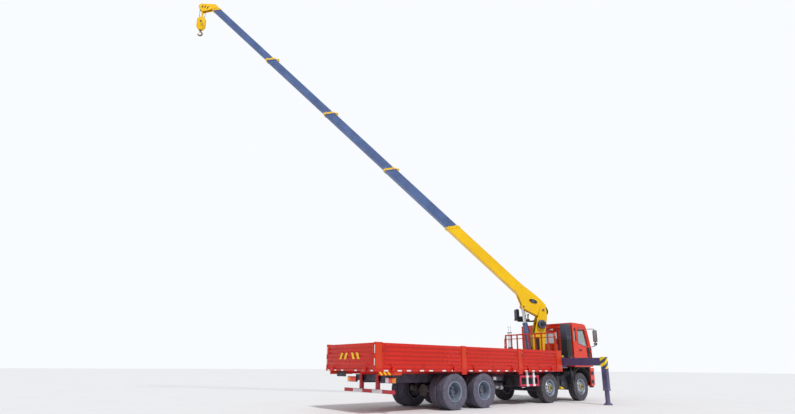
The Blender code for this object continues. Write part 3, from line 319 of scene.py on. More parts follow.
def make_finishes(colours):
    """Every finish of the machine by name."""
    dust = colours.dust
    tyre = Finish("tyre_rubber", 0.78).base(colours.rubber, 0.35, 9.0)
    tyre.layer(dust, tyre.fade(tyre.noise(14.0, 8.0), 0.35, 0.72, 0.05, 0.42))
    rear = Finish("dusty_tyre_rubber", 0.82).base(colours.rubber, 0.3, 9.0)
    rear.layer((0.15, 0.14, 0.20), rear.fade(rear.noise(10.0, 8.0), 0.3, 0.7, 0.45, 0.9))
    FINISHES.update(
        body=Finish("body_paint", 0.34, coat=0.1,
                    shine=0.3).base(colours.body, 0.07, 1.0).dusty(dust, 1.35, 0.18, 3.0).done(0.02),
        post=Finish("post_paint", 0.34, coat=0.1, shine=0.3).base((0.66, 0.045, 0.010), 0.07,
                                                                  1.0).done(0.02),
        cab=Finish("cab_paint", 0.25, coat=0.35).base(colours.cab, 0.08, 1.2).dusty(dust, 1.3,
                                                                                    0.3).done(0.03),
        visor=Finish("visor_paint", 0.25, coat=0.6).base((0.50, 0.05, 0.09), 0.15).done(0.03),
        crane=Finish("crane_paint", 0.34, coat=0.15, shine=0.35).base(colours.crane, 0.10, 1.5).done(0.05),
        slate=Finish("cylinder_paint", 0.35, coat=0.3).base((0.10, 0.17, 0.34), 0.18).done(0.06),
        base=Finish("crane_base_paint", 0.45).base(colours.outrigger, 0.2).dusty(dust, 1.8, 0.5).done(0.1),
        chassis=Finish("chassis_paint", 0.6).base(colours.chassis, 0.3).dusty(dust, 1.5, 0.75).done(0.2),
        axle=Finish("axle_iron", 0.75).base((0.09, 0.075, 0.075), 0.3).rusty(0.55).dusty(dust, 1.2,
                                                                                         0.5).done(0.3),
        engine=Finish("engine_iron", 0.6, 0.3).base((0.07, 0.07, 0.08), 0.3).rusty(0.2).done(0.25),
        tank=Finish("tank_aluminium", 0.32, 0.9).base((0.60, 0.61, 0.63), 0.1).dusty(dust, 1.2,
                                                                                     0.5).done(0.08),
        rubber=tyre.done(0.35, 90.0), dusty_rubber=rear.done(0.4, 90.0),
        rim=Finish("rim_steel", 0.42, 0.4).base(colours.rim, 0.2, 6.0).dusty(dust, 1.2, 0.4).done(0.12),
        silver=Finish("hub_silver", 0.3, 0.8).base((0.55, 0.58, 0.62), 0.15, 8.0).dusty(dust, 1.0,
                                                                                        0.3).done(0.1),
        brass=Finish("hub_brass", 0.38, 0.8).base((0.52, 0.42, 0.20), 0.2, 12.0).done(0.1),
        # Black plastic and rubber; the same black is also painted shade in the rim hand holes, the boom's root
        # window and the column's lower recess.
        dark=Finish("black_plastic_and_painted_shade", 0.55).base((0.018, 0.019, 0.022), 0.3).dusty(dust, 1.6,
                                                                                  0.4).done(0.25, 140.0),
        intake=Finish("intake_plastic", 0.55).base((0.030, 0.034, 0.038), 0.25).done(0.25, 120.0),
        steel=Finish("winch_steel", 0.4, 0.5).base((0.10, 0.11, 0.17), 0.25, 8.0).rusty(0.1).done(0.12),
        grey=Finish("lever_grey", 0.45, 0.3).base((0.32, 0.32, 0.36), 0.2).done(0.1),
        chrome=Finish("rod_chrome", 0.10, 1.0).base((0.92, 0.93, 0.95), 0.03).done(0.01, spread=0.04),
        mirror=Finish("mirror_glass", 0.12, coat=0.8).base((0.34, 0.38, 0.38), 0.12).done(0.0, spread=0.04),
        white=Finish("guard_white", 0.4).base((0.82, 0.82, 0.84), 0.08).dusty(dust, 1.0, 0.2).done(0.05),
        yellow=Finish("marking_yellow", 0.4).base((0.93, 0.62, 0.0), 0.1).done(0.05),
        pink=Finish("marking_red", 0.4).base((0.52, 0.020, 0.035), 0.12).done(0.05),
        cowl=Finish("intake_top", 0.5).base((0.060, 0.066, 0.105), 0.2).done(0.15),
        seat=Finish("seat_vinyl", 0.6).base((0.07, 0.085, 0.15), 0.25, 9.0).done(0.4, 160.0),
        trim=Finish("cab_trim", 0.7).base((0.06, 0.06, 0.065), 0.25, 7.0).done(0.4, 150.0),
        boards=Finish("floor_boards", 0.7).base((0.16, 0.05, 0.035), 0.45,
                                                3.0).rusty(0.3, 6.0).done(0.5, 40.0),
        rope=Finish("hoist_rope", 0.5, 0.7).base((0.20, 0.20, 0.21), 0.3, 40.0).done(0.6, 220.0),
        guard_tape=guard_finish(),
        glass=glass_finish(), red_lens=lens_finish("red_lens", (0.85, 0.03, 0.01)),
        amber_lens=lens_finish("amber_lens", (0.95, 0.30, 0.0)),
        clear_lens=lens_finish("clear_lens", (0.85, 0.87, 0.9), 0.05),
        beam=beam_finish(colours),
        **{f"section_{number}": section_finish(number, colours) for number in range(2, 6)})


NODE_FINISH = {
    "deck": "body", "headboard": "post", "tailgate": "body", "underrun_bar": "pink", "cab": "cab",
    "door_r": "cab",
    "door_l": "cab", "bumper": "cab", "air_intake": "intake", "column": "crane", "boom_base": "crane",
    "hook_block": "crane", "crane_base": "base", "outrigger_beam_r": "beam", "outrigger_beam_l": "beam",
    "jack_r": "base", "jack_l": "base", "winch_drum": "steel", "operator_seat": "dark",
    "luff_barrel": "slate",
    "luff_rod": "chrome", "chassis_frame": "chassis", "engine_gearbox": "engine", "fuel_tank": "tank",
    "front_axle_1": "chassis", "front_axle_2": "chassis", "rear_axle_3": "axle", "rear_axle_4": "axle",
    "side_guard_r": "guard_tape", "side_guard_l": "guard_tape",
    **{f"drop_side_{row}_{key}": "body" for row in (1, 2, 3) for key in "rl"},
    **{f"knuckle_{axle}_{key}": "chassis" for axle in (1, 2) for key in "rl"},
    **{f"boom_section_{number}": f"section_{number}" for number in range(2, 6)},
}


# ---------------------------------------------------------------- shaping
def solo(*objects):
    """Select only these, the first one active."""
    if bpy.context.object and bpy.context.object.mode != "OBJECT":
        bpy.ops.object.mode_set(mode="OBJECT")
    bpy.ops.object.select_all(action="DESELECT")
    for item in objects:
        item.select_set(True)
    if objects:
        bpy.context.view_layer.objects.active = objects[0]


def fixed(obj):
    """Place, turn and scale written into the mesh."""
    solo(obj)
    bpy.ops.object.transform_apply(location=True, rotation=True, scale=True)
    return obj


def modified(obj, kind, **values):
    """A modifier added and applied."""
    solo(obj)
    made = obj.modifiers.new("shape", kind)
    for key, value in values.items():
        setattr(made, key, value)
    bpy.ops.object.modifier_apply(modifier=made.name)
    return obj


def softened(obj, width, rounds=2):
    """Sharp edges bevelled."""
    if width:
        modified(obj, "BEVEL", width=width, segments=rounds, limit_method="ANGLE",
                 angle_limit=math.radians(38))
    return obj


def coloured(obj, finish):
    """One finish all over."""
    obj.data.materials.clear()
    obj.data.materials.append(FINISHES[finish])
    return obj


def block(finish, low, high, soft=0.006):
    """A box with soft edges."""
    low, high = Vector(low), Vector(high)
    solo()
    bpy.ops.mesh.primitive_cube_add(size=1, location=(low + high) / 2)
    obj = bpy.context.object
    obj.scale = [max(abs(side), 0.001) for side in high - low]
    return coloured(softened(fixed(obj), min(soft, 0.4 * min(abs(side) for side in high - low))), finish)


def drum(finish, start, end, radius, sides=28, soft=0.004):
    """A round bar between two points."""
    start, end = Vector(start), Vector(end)
    way = end - start
    solo()
    bpy.ops.mesh.primitive_cylinder_add(vertices=sides, radius=radius, depth=way.length,
                                        location=(start + end) / 2,
                                        rotation=way.to_track_quat("Z", "Y").to_euler())
    return coloured(softened(fixed(bpy.context.object), min(soft, way.length * 0.3)), finish)


def outline(finish, points, axis, low, high, soft=0.004):
    """A flat outline drawn out along an axis."""
    def place(a, b, along):
        return {"X": (along, a, b), "Y": (a, along, b), "Z": (a, b, along)}[axis]

    mesh = bpy.data.meshes.new("outline")
    mesh.from_pydata([place(a, b, low) for a, b in points], [], [list(range(len(points)))])
    obj = bpy.data.objects.new("outline", mesh)
    bpy.context.scene.collection.objects.link(obj)
    solo(obj)
    bpy.ops.object.mode_set(mode="EDIT")
    bpy.ops.mesh.select_all(action="SELECT")
    bpy.ops.mesh.extrude_region_move(TRANSFORM_OT_translate={"value": place(0, 0, high - low)})
    bpy.ops.mesh.select_all(action="SELECT")
    bpy.ops.mesh.normals_make_consistent(inside=False)
    bpy.ops.object.mode_set(mode="OBJECT")
    return coloured(softened(obj, soft), finish)


def turned(finish, profile, centre, axis="Y", steps=56):
    """A profile of (along, radius) points spun about an axis."""
    def place(along, radius):
        return {"X": (along, 0, radius), "Y": (0, along, radius), "Z": (radius, 0, along)}[axis]

    mesh = bpy.data.meshes.new("profile")
    mesh.from_pydata([place(*point) for point in profile], [(k, k + 1) for k in range(len(profile) - 1)],
                     [])
    obj = bpy.data.objects.new("profile", mesh)
    bpy.context.scene.collection.objects.link(obj)
    solo(obj)
    bpy.ops.object.mode_set(mode="EDIT")
    bpy.ops.mesh.select_all(action="SELECT")
    turn = {"X": (1, 0, 0), "Y": (0, 1, 0), "Z": (0, 0, 1)}[axis]
    bpy.ops.mesh.spin(steps=steps, angle=2 * math.pi, center=(0, 0, 0), axis=turn)
    bpy.ops.mesh.select_all(action="SELECT")
    bpy.ops.mesh.remove_doubles(threshold=0.0002)
    bpy.ops.mesh.normals_make_consistent(inside=False)
    bpy.ops.object.mode_set(mode="OBJECT")
    obj.location = centre
    return coloured(fixed(obj), finish)


def pipe(finish, points, radius, smooth=True, sides=3):
    """A tube through points."""
    line = bpy.data.curves.new("route", "CURVE")
    line.dimensions = "3D"
    line.bevel_depth = radius
    line.bevel_resolution = sides
    line.use_fill_caps = True
    line.resolution_u = 8
    strand = line.splines.new("NURBS" if smooth else "POLY")
    strand.points.add(len(points) - 1)
    for point, place in zip(strand.points, points):
        point.co = (*place, 1.0)
    if smooth:
        strand.order_u = 3
        strand.use_endpoint_u = True
    obj = bpy.data.objects.new("route", line)
    bpy.context.scene.collection.objects.link(obj)
    solo(obj)
    bpy.ops.object.convert(target="MESH")
    return coloured(bpy.context.object, finish)


def bolts(finish, centres, axis, radius, height=0.01):
    """Six-sided bolt heads along an axis."""
    way = Vector({"X": (1, 0, 0), "Y": (0, 1, 0), "Z": (0, 0, 1)}[axis]) * height
    return [drum(finish, centre, Vector(centre) + way, radius, 6, 0.002) for centre in centres]


def ring(centre, radius, count, axis, phase=0.0):
    """Points on a circle square to an axis."""
    points = []
    for k in range(count):
        turn = 2 * math.pi * k / count + phase
        a, b = radius * math.cos(turn), radius * math.sin(turn)
        points.append(Vector(centre) + Vector({"X": (0, a, b), "Y": (a, 0, b), "Z": (a, b, 0)}[axis]))
    return points


def piece(name, parts, body, place=LORRY, angle=35):
    """Join the parts into one named piece that rides on a body."""
    solo(*parts)
    if len(parts) > 1:
        bpy.ops.object.join()
    obj = bpy.context.object
    obj.name = obj.data.name = name
    obj.matrix_world = place
    fixed(obj)
    bpy.ops.object.shade_smooth_by_angle(angle=math.radians(angle))
    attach(obj, body)
    return obj


# ---------------------------------------------------------------- wheels
def tyre_profile(half):
    """Tyre section with four grooves round the tread."""
    points = [(-half * 0.72, RIM_R + 0.002), (-half * 0.86, RIM_R + 0.015), (-half * 0.97, RIM_R + 0.07),
              (-half, RIM_R + 0.125), (-half * 0.985, TYRE_R - 0.065), (-half * 0.93, TYRE_R - 0.028),
              (-half * 0.86, TYRE_R - 0.010)]
    for middle in (-0.52, -0.18, 0.18, 0.52):
        top = TYRE_R - 0.002 - 0.006 * middle * middle
        points += [(half * (middle - 0.075), top), (half * (middle - 0.05), top - 0.012),
                   (half * (middle + 0.05), top - 0.012), (half * (middle + 0.075), top)]
    return points + [(-a, b) for a, b in reversed(points[:7])]


def tyre(finish, middle, sizes, steps=120):
    """A tyre with cut tread blocks."""
    obj = turned(finish, tyre_profile(sizes.tyre_half), (0, 0, 0), steps=steps)
    solo(obj)
    bpy.ops.object.mode_set(mode="EDIT")
    bpy.ops.mesh.select_mode(type="FACE")
    bpy.ops.mesh.select_all(action="DESELECT")
    bpy.ops.object.mode_set(mode="OBJECT")
    half = sizes.tyre_half
    for face in obj.data.polygons:
        centre = face.center
        radius = math.hypot(centre.x, centre.z)
        turn = (math.degrees(math.atan2(centre.z, centre.x)) + 360) % 360
        row = int(turn / 360 * steps)
        across = abs(centre.y) / half
        shift = 1 if across < 0.4 else 0
        face.select = radius > TYRE_R - 0.013 and (row + shift) % 3 == 0 and (
            across > 0.60 or 0.24 < across < 0.46 or across < 0.11)
    bpy.ops.object.mode_set(mode="EDIT")
    bpy.ops.mesh.extrude_region_shrink_fatten(TRANSFORM_OT_shrink_fatten={"value": -sizes.tread})
    bpy.ops.mesh.select_mode(type="VERT")
    bpy.ops.object.mode_set(mode="OBJECT")
    obj.location.y = middle
    return fixed(obj)


def front_rim():
    """Right front rim: steel dish with hand holes, nut ring and hub cap; outward is -Y here."""
    dish = [(0.137, RIM_R - 0.002), (0.137, RIM_R - 0.022), (0.10, RIM_R - 0.036), (-0.045, RIM_R - 0.050),
            (-0.105, RIM_R - 0.044), (-0.128, RIM_R - 0.026), (-0.137, RIM_R - 0.020),
            (-0.139, RIM_R - 0.001),
            (-0.132, RIM_R + 0.004), (0.132, RIM_R + 0.004), (0.137, RIM_R - 0.002)]
    plate = [(-0.050, RIM_R - 0.048), (-0.085, 0.215), (-0.118, 0.178), (-0.125, 0.150), (-0.125, 0.10),
             (-0.105, 0.10), (-0.105, 0.150), (-0.098, 0.172), (-0.065, 0.208), (-0.035, RIM_R - 0.048)]
    hub = [(-0.10, 0.115), (-0.150, 0.112), (-0.162, 0.098), (-0.166, 0.075), (-0.200, 0.068),
           (-0.206, 0.058),
           (-0.206, 0.0)]
    cap = [(-0.205, 0.050), (-0.207, 0.046), (-0.207, 0.0)]
    parts = [turned("rim", dish, (0, 0, 0)), turned("silver", plate, (0, 0, 0)),
             turned("brass", hub, (0, 0, 0)),
             turned("dark", cap, (0, 0, 0))]
    parts += bolts("silver", ring((0, -0.120, 0), 0.140, 10, "Y"), "Y", 0.017, -0.030)
    # Painted shade: short black plugs fill the ten hand holes and stand in for the shadow seen through them.
    for point in ring((0, -0.0985, 0), 0.202, 10, "Y", 0.3):
        tip = Vector((point.x * 0.93, -0.112, point.z * 0.93))
        parts.append(drum("dark", point + Vector((0, 0.012, 0)), tip, 0.021, 14, 0.0))
    return parts


def rear_rim():
    """Right twin rim, seen from outside: deep barrel, plate far in, driven hub; outward is -Y here."""
    barrel = [(-0.298, RIM_R - 0.001), (-0.300, RIM_R - 0.022), (-0.290, RIM_R - 0.030),
              (-0.265, RIM_R - 0.036),
              (-0.06, RIM_R - 0.052), (0.26, RIM_R - 0.040), (0.297, RIM_R - 0.022), (0.297, RIM_R + 0.003),
              (-0.292, RIM_R + 0.004), (-0.298, RIM_R - 0.001)]
    plate = [(-0.035, RIM_R - 0.050), (-0.060, 0.212), (-0.046, 0.176), (-0.040, 0.10), (-0.012, 0.10),
             (-0.016, 0.176), (-0.030, 0.205), (-0.010, RIM_R - 0.050)]
    hub = [(-0.02, 0.118), (-0.130, 0.112), (-0.150, 0.095), (-0.185, 0.088), (-0.192, 0.078),
           (-0.192, 0.0)]
    parts = [turned("rim", barrel, (0, 0, 0)), turned("rim", plate, (0, 0, 0)),
             turned("chassis", hub, (0, 0, 0))]
    parts += bolts("rim", ring((0, -0.038, 0), 0.148, 10, "Y"), "Y", 0.017, -0.032)
    parts += bolts("chassis", ring((0, -0.186, 0), 0.068, 8, "Y"), "Y", 0.010, -0.012)
    # Painted shade: short black plugs fill the ten hand holes and stand in for the shadow seen through them.
    for point in ring((0, -0.0570, 0), 0.200, 10, "Y", 0.3):
        parts.append(drum("dark", point + Vector((0, 0.02, 0)), point + Vector((0, -0.004, 0)), 0.024, 14,
                          0.0))
    return parts


def copy_to(obj, place, name, body, node):
    """A placed copy of a finished right-hand wheel piece, turned round for the left."""
    copy = obj.copy()
    copy.data = obj.data.copy()
    bpy.context.scene.collection.objects.link(copy)
    if place.y > 0:
        copy.rotation_euler.z = math.pi
        fixed(copy)
    made = piece(name, [copy], body, LORRY @ Matrix.Translation(place))
    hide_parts(node)
    return made


def build_wheels(sizes):
    """Treaded tyres and dished rims on every axle."""
    single = tyre("rubber", 0.0, sizes)
    twin = [tyre("dusty_rubber", side * 0.1675, sizes) for side in (-1, 1)]
    band = turned("chassis", [(-0.03, RIM_R + 0.004), (-0.03, RIM_R + 0.03), (0.03, RIM_R + 0.03),
                              (0.03, RIM_R + 0.004)], (0, 0, 0))
    solo(*twin, band)
    bpy.ops.object.join()
    pair = bpy.context.object
    rims = []
    for parts in (front_rim(), rear_rim()):
        solo(*parts)
        bpy.ops.object.join()
        rims.append(bpy.context.object)
    for row, x in enumerate(AXLE_X, 1):
        for key, side in SIDES:
            steered = row < 3
            place = Vector((x, side * (0.993 if steered else 0.9165), TYRE_R))
            prefix = "" if steered else "twin_"
            tag = f"{row}_{key}"
            copy_to(single if steered else pair, place, f"treaded_{prefix}tyre_{tag}", f"wheel_{tag}",
                    f"{prefix}tyre_{tag}")
            copy_to(rims[0 if steered else 1], place, f"dished_{prefix}rim_{tag}", f"wheel_{tag}",
                    f"{prefix}rim_{tag}")
    for source in (single, pair, *rims):
        bpy.data.objects.remove(source, do_unlink=True)


# ---------------------------------------------------------------- chassis
def spring(x, y, low, length, leaves, up):
    """A pack of leaves that gets shorter away from the long one."""
    parts = []
    for k in range(leaves):
        half = length / 2 * (1 - k * 0.115)
        z = low + (k if up else -k) * 0.014
        parts.append(block("chassis", (x - half, y - 0.036, z), (x + half, y + 0.036, z + 0.012), 0.002))
    for end in (-1, 1):
        parts.append(block("chassis", (x + end * length * 0.16 - 0.012, y - 0.045, low - 0.075),
                           (x + end * length * 0.16 + 0.012, y + 0.045, low + 0.085), 0.003))
    return parts


def build_chassis(sizes):
    """Springs, brake chambers, tanks, boxes and pipes under the body."""
    parts = []
    for _, side in SIDES:
        for x in AXLE_X[:2]:
            parts += spring(x, side * 0.39, 0.546, 1.16, 6, False)
            parts.append(drum("dark", (x - 0.16, side * 0.33, 0.50), (x - 0.22, side * 0.31, 0.98), 0.034,
                              20))
        parts += spring(3.765, side * 0.48, 0.742, 1.50, 5, True)
        for x in AXLE_X[2:]:
            for back in (-1, 1):
                parts.append(drum("axle", (x + back * 0.20, side * 0.33, 0.60),
                                  (x + back * 0.42, side * 0.33, 0.62),
                                  0.085, 26, 0.012))
                parts.append(drum("grey", (x + back * 0.28, side * 0.33, 0.607),
                                  (x + back * 0.31, side * 0.33, 0.61),
                                  0.094, 26, 0.004))
    parts.append(drum("axle", (3.44, 0, 0.60), (4.24, 0, 0.60), 0.045))
    piece("springs_and_brakes", parts, "chassis")
    parts = []
    for z in (0.66, 0.92):
        parts.append(drum("chassis", (5.15, -0.66, z), (5.95, -0.66, z), 0.115, 30, 0.03))
        for x in (5.30, 5.80):
            parts.append(drum("steel", (x, -0.66, z), (x + 0.03, -0.66, z), 0.118, 30, 0.002))
    parts.append(block("chassis", (5.28, -0.55, 0.60), (5.34, -0.43, 1.00)))
    parts.append(block("chassis", (5.78, -0.55, 0.60), (5.84, -0.43, 1.00)))
    parts.append(block("white", (5.15, -1.02, 0.86), (5.30, -0.99, 0.96)))
    parts.append(block("dark", (6.45, -1.08, 0.62), (7.40, -0.50, 1.02), 0.02))
    parts.append(block("chassis", (6.43, -1.09, 1.0), (7.42, -0.49, 1.035), 0.008))
    parts.append(block("chassis", (6.6, -0.52, 0.70), (6.7, -0.43, 0.95)))
    parts.append(drum("grey", (5.25, -0.98, 0.62), (5.40, -0.98, 0.62), 0.05))
    parts.append(drum("grey", (5.50, -0.98, 0.60), (5.62, -0.98, 0.60), 0.06))
    for k, z in enumerate((0.98, 1.01, 1.04)):
        parts.append(pipe("dark", [(1.0, -0.34 + 0.02 * k, z), (4.0, -0.34 + 0.02 * k, z),
                                   (9.0, -0.34 + 0.02 * k, z - 0.03)], sizes.hose))
    piece("tanks_and_boxes", parts, "chassis")
    parts = [block("dark", (8.98, -0.95, 0.48), (9.80, -0.48, 0.98), 0.05),
             block("steel", (9.25, -1.01, 0.62), (9.40, -0.94, 0.80), 0.01),
             block("dark", (9.50, 0.48, 0.50), (9.80, 0.98, 1.0), 0.03),
             outline("yellow", [(8.98, 0.50), (9.20, 0.48), (9.20, 0.50), (9.02, 0.57), (8.98, 0.56)], "Y",
                     -1.14, -1.04),
             block("dark", (9.70, -1.19, 1.02), (9.94, -1.10, 1.16), 0.02),
             block("base", (9.74, -1.20, 0.86), (9.82, -1.12, 1.04), 0.01)]
    for k in range(3):
        y = -1.19 - 0.012 * k
        parts.append(pipe("dark", [(9.64, y, 1.34), (9.66 + 0.03 * k, y, 1.02), (9.70 + 0.03 * k, y, 0.74),
                                   (9.80, y, 0.66), (9.90, y, 0.76), (9.92, y, 1.30)], sizes.hose))
    piece("silencer_and_valves", parts, "chassis")
    parts = []
    for _, side in SIDES:
        arch = [(0.72 * math.cos(math.radians(a)), 0.72 * math.sin(math.radians(a)))
                for a in range(12, 169, 12)]
        inner = [(a * 0.975, b * 0.975) for a, b in reversed(arch)]
        low, high = sorted((side * 0.70, side * 1.215))
        loop = [(AXLE_X[0] + a, 0.585 + b) for a, b in (*arch, *inner)]
        parts.append(outline("dark", loop, "Y", low, high, 0.0))
        skirt = sorted((side * 0.46, side * 1.19))
        parts.append(block("dark", (9.99, skirt[0], 1.285), (11.22, skirt[1], 1.319), 0.004))
        parts.append(block("dark", (11.06, side * 0.60, 0.80), (11.085, side * 1.20, 1.30), 0.004))
    piece("mudguards", parts, "chassis")


RIB_Z = [1.3616 + 0.1186 * k for k in range(5)]


def rib(finish, axis, start, end, face, out, height):
    """A pressed rib along a drop panel."""
    half = 0.037
    points = [(face, height - half), (face, height + half), (face + out, height + half * 0.55),
              (face + out, height - half * 0.55)]
    return outline(finish, points, axis, start, end, 0.004)


def build_tail():
    """Lamps, plate, underrun stripes and marker boards at the back."""
    parts = []
    for _, side in SIDES:
        colours = ("clear_lens", "red_lens", "amber_lens") if side < 0 else ("red_lens", "red_lens",
                                                                             "amber_lens")
        inner, outer = side * 0.73, side * 1.19
        parts.append(block("dark", (0.77, inner - side * 0.01, 0.81), (0.83, outer + side * 0.01, 0.97),
                           0.01))
        step = (outer - inner) / 3
        for k, finish in enumerate(colours):
            parts.append(block(finish, (0.755, inner + step * k + side * 0.004, 0.82),
                               (0.775, inner + step * (k + 1) - side * 0.004, 0.96), 0.006))
        parts.append(block("chassis", (0.83, side * 0.78, 0.88), (0.86, side * 1.1, 0.93)))
        parts.append(outline("pink", [(0.745, 1.02), (0.98, 1.02), (0.745, 0.80)], "Y", side * 0.40 - 0.05,
                             side * 0.40 + 0.05))
    piece("tail_lamps", parts, "chassis")
    parts = []
    for _, side in SIDES:
        low, high = sorted((side * 0.24, side * 0.72))
        parts.append(block("white", (0.657, low, 0.527), (0.743, high, 0.633), 0.004))
        parts.append(block("white", (-0.003, side * 1.20, 1.30), (0.002, side * 1.235, 1.48), 0.001))
        parts.append(block("white", (-0.003, side * 1.20, 1.62), (0.002, side * 1.235, 1.84), 0.001))
        for k in range(6):
            y = side * (0.10 + 0.19 * k)
            parts.append(block("white" if k % 2 else "pink", (-0.002, y, 1.141),
                               (0.0, y + side * 0.11, 1.177), 0.0))
    parts.append(block("dark", (0.10, 0.30, 0.98), (0.115, 0.78, 1.12), 0.004))
    parts.append(block("dark", (0.105, 0.34, 1.10), (0.125, 0.74, 1.136), 0.004))
    piece("underrun_stripes", parts, "chassis")
    parts = []
    for height in RIB_Z:
        parts.append(rib("body", "Y", -1.12, 1.12, 0.006, -0.015, height))
    for middle, lean in ((0.40, -0.09), (0.16, -0.09), (-0.20, 0.09), (-0.44, 0.09)):
        bottom, top = middle - lean / 2, middle + lean / 2
        parts.append(outline("yellow", [(bottom - 0.05, 1.47), (bottom + 0.05, 1.47), (top + 0.05, 1.65),
                                        (top - 0.05, 1.65)], "X", -0.0115, -0.0085, 0.0))
    for y in (-1.14, 1.14):
        parts.append(block("post", (-0.018, y - 0.02, 1.62), (0.004, y + 0.02, 1.86), 0.004))
    parts.append(drum("body", (0.022, -1.175, SIDE_TOP), (0.022, 1.175, SIDE_TOP), 0.018))
    piece("tailgate_marks", parts, "tailgate")


# ---------------------------------------------------------------- cargo body
PANELS = ((0.246, 3.374), (3.586, 6.254), (6.466, 8.624))
POST_HALF = 0.10


def build_body(sizes):
    """Floor boards, tape, post caps and the drop sides' rails and latches."""
    count = 12
    wide = (2 * 1.178) / count
    parts = []
    for k in range(count):
        y = -1.178 + k * wide
        parts.append(block("boards", (0.05, y + 0.002, DECK_TOP - 0.002), (8.70, y + min(wide, sizes.board),
                                                                          DECK_TOP + 0.006), 0.002))
    piece("floor_boards", parts, "chassis")
    parts = []
    gaps = (0.30, 0.78, 1.12, 1.62, 1.98, 2.52, 2.92, 3.38, 3.72, 4.16, 4.62, 5.06, 5.50, 5.92, 6.62, 7.04,
            7.46, 7.84,
            8.24)
    for _, side in SIDES:
        for k, x in enumerate(gaps):
            parts.append(block("white", (x, side * (BODY_FACE - 0.004), 1.140),
                               (x + 0.15, side * (BODY_FACE + 0.0015), 1.140 + sizes.tape), 0.0))
            parts.append(block("pink", (x + 0.15, side * (BODY_FACE - 0.004), 1.140),
                               (x + 0.22, side * (BODY_FACE + 0.001), 1.140 + sizes.tape), 0.0))
        for x in (0.0, *[post - POST_HALF for post in (3.48, 6.36)], 8.63):
            wide = 0.24 if x == 0.0 else (0.37 if x > 8 else 2 * POST_HALF)
            low, high = sorted((side * (BODY_FACE - 0.068), side * (BODY_FACE + 0.008)))
            parts.append(block("post", (x - 0.004, low, SIDE_TOP), (x + wide + 0.004, high, 1.918), 0.006))
            face = sorted((side * (BODY_FACE + 0.0005), side * (BODY_FACE + 0.006)))
            parts.append(block("post", (x + 0.012, face[0], 1.215), (x + wide - 0.012, face[1], 1.88),
                               0.002))
        board = sorted((side * 1.205, side * 1.235))
        parts.append(block("post", (0.14, board[0], 1.035), (0.95, board[1], 1.134), 0.004))
        for k in range(3):
            x = 0.22 + 0.14 * k
            stripe = [(x, 1.04), (x + 0.06, 1.04), (x - 0.02, 1.13), (x - 0.08, 1.13)]
            faces = sorted((side * 1.2345, side * 1.2375))
            parts.append(outline("yellow", stripe, "Y", *faces, 0.0))
    piece("tape_and_posts", parts, "chassis")
    for row, (start, end) in enumerate(PANELS, 1):
        for key, side in SIDES:
            middle = side * 1.2275
            parts = [drum("body", (start + 0.004, middle, SIDE_TOP), (end - 0.004, middle, SIDE_TOP),
                          0.020)]
            for height in RIB_Z:
                parts.append(rib("body", "X", start + 0.075, end - 0.075, side * 1.244, side * 0.015,
                                 height))
            for x in (start + 0.03, end - 0.03):
                outer = side * 1.250
                parts.append(block("post", (x - 0.018, side * 1.243, 1.60), (x + 0.018, outer, 1.80),
                                   0.003))
                parts.append(pipe("steel", [(x, side * 1.250, 1.64), (x, side * 1.268, 1.66),
                                            (x, side * 1.268, 1.74),
                                            (x, side * 1.250, 1.76)], 0.007))
            for x in (start + 0.35, (start + end) / 2, end - 0.35):
                parts.append(block("body", (x - 0.03, side * 1.243, 1.225), (x + 0.03, side * 1.252, 1.36),
                                   0.003))
                parts += bolts("steel", [(x, side * 1.251, 1.25), (x, side * 1.251, 1.33)], "Y", sizes.bolt,
                               side * 0.006)
            piece(f"drop_side_trim_{row}_{key}", parts, f"drop_side_{row}_{key}")
    parts = []
    for _, side in SIDES:
        parts.append(pipe("post", [(8.735, side * 1.13, 2.60), (8.735, side * 1.21, 2.42),
                                   (8.735, side * 1.22, 2.18)],
                          0.02, False))
        parts.append(pipe("post", [(8.74, side * 0.95, 2.60), (8.76, side * 0.6, 2.62), (8.76, 0, 2.622)],
                          0.012))
    piece("headboard_rails", parts, "chassis")


# ---------------------------------------------------------------- cab
def door_pane():
    """Corners of the door's window."""
    return [(10.345, 2.245), (10.825, 2.135), (11.075, 2.165), (10.905, 2.835), (10.345, 2.835)]


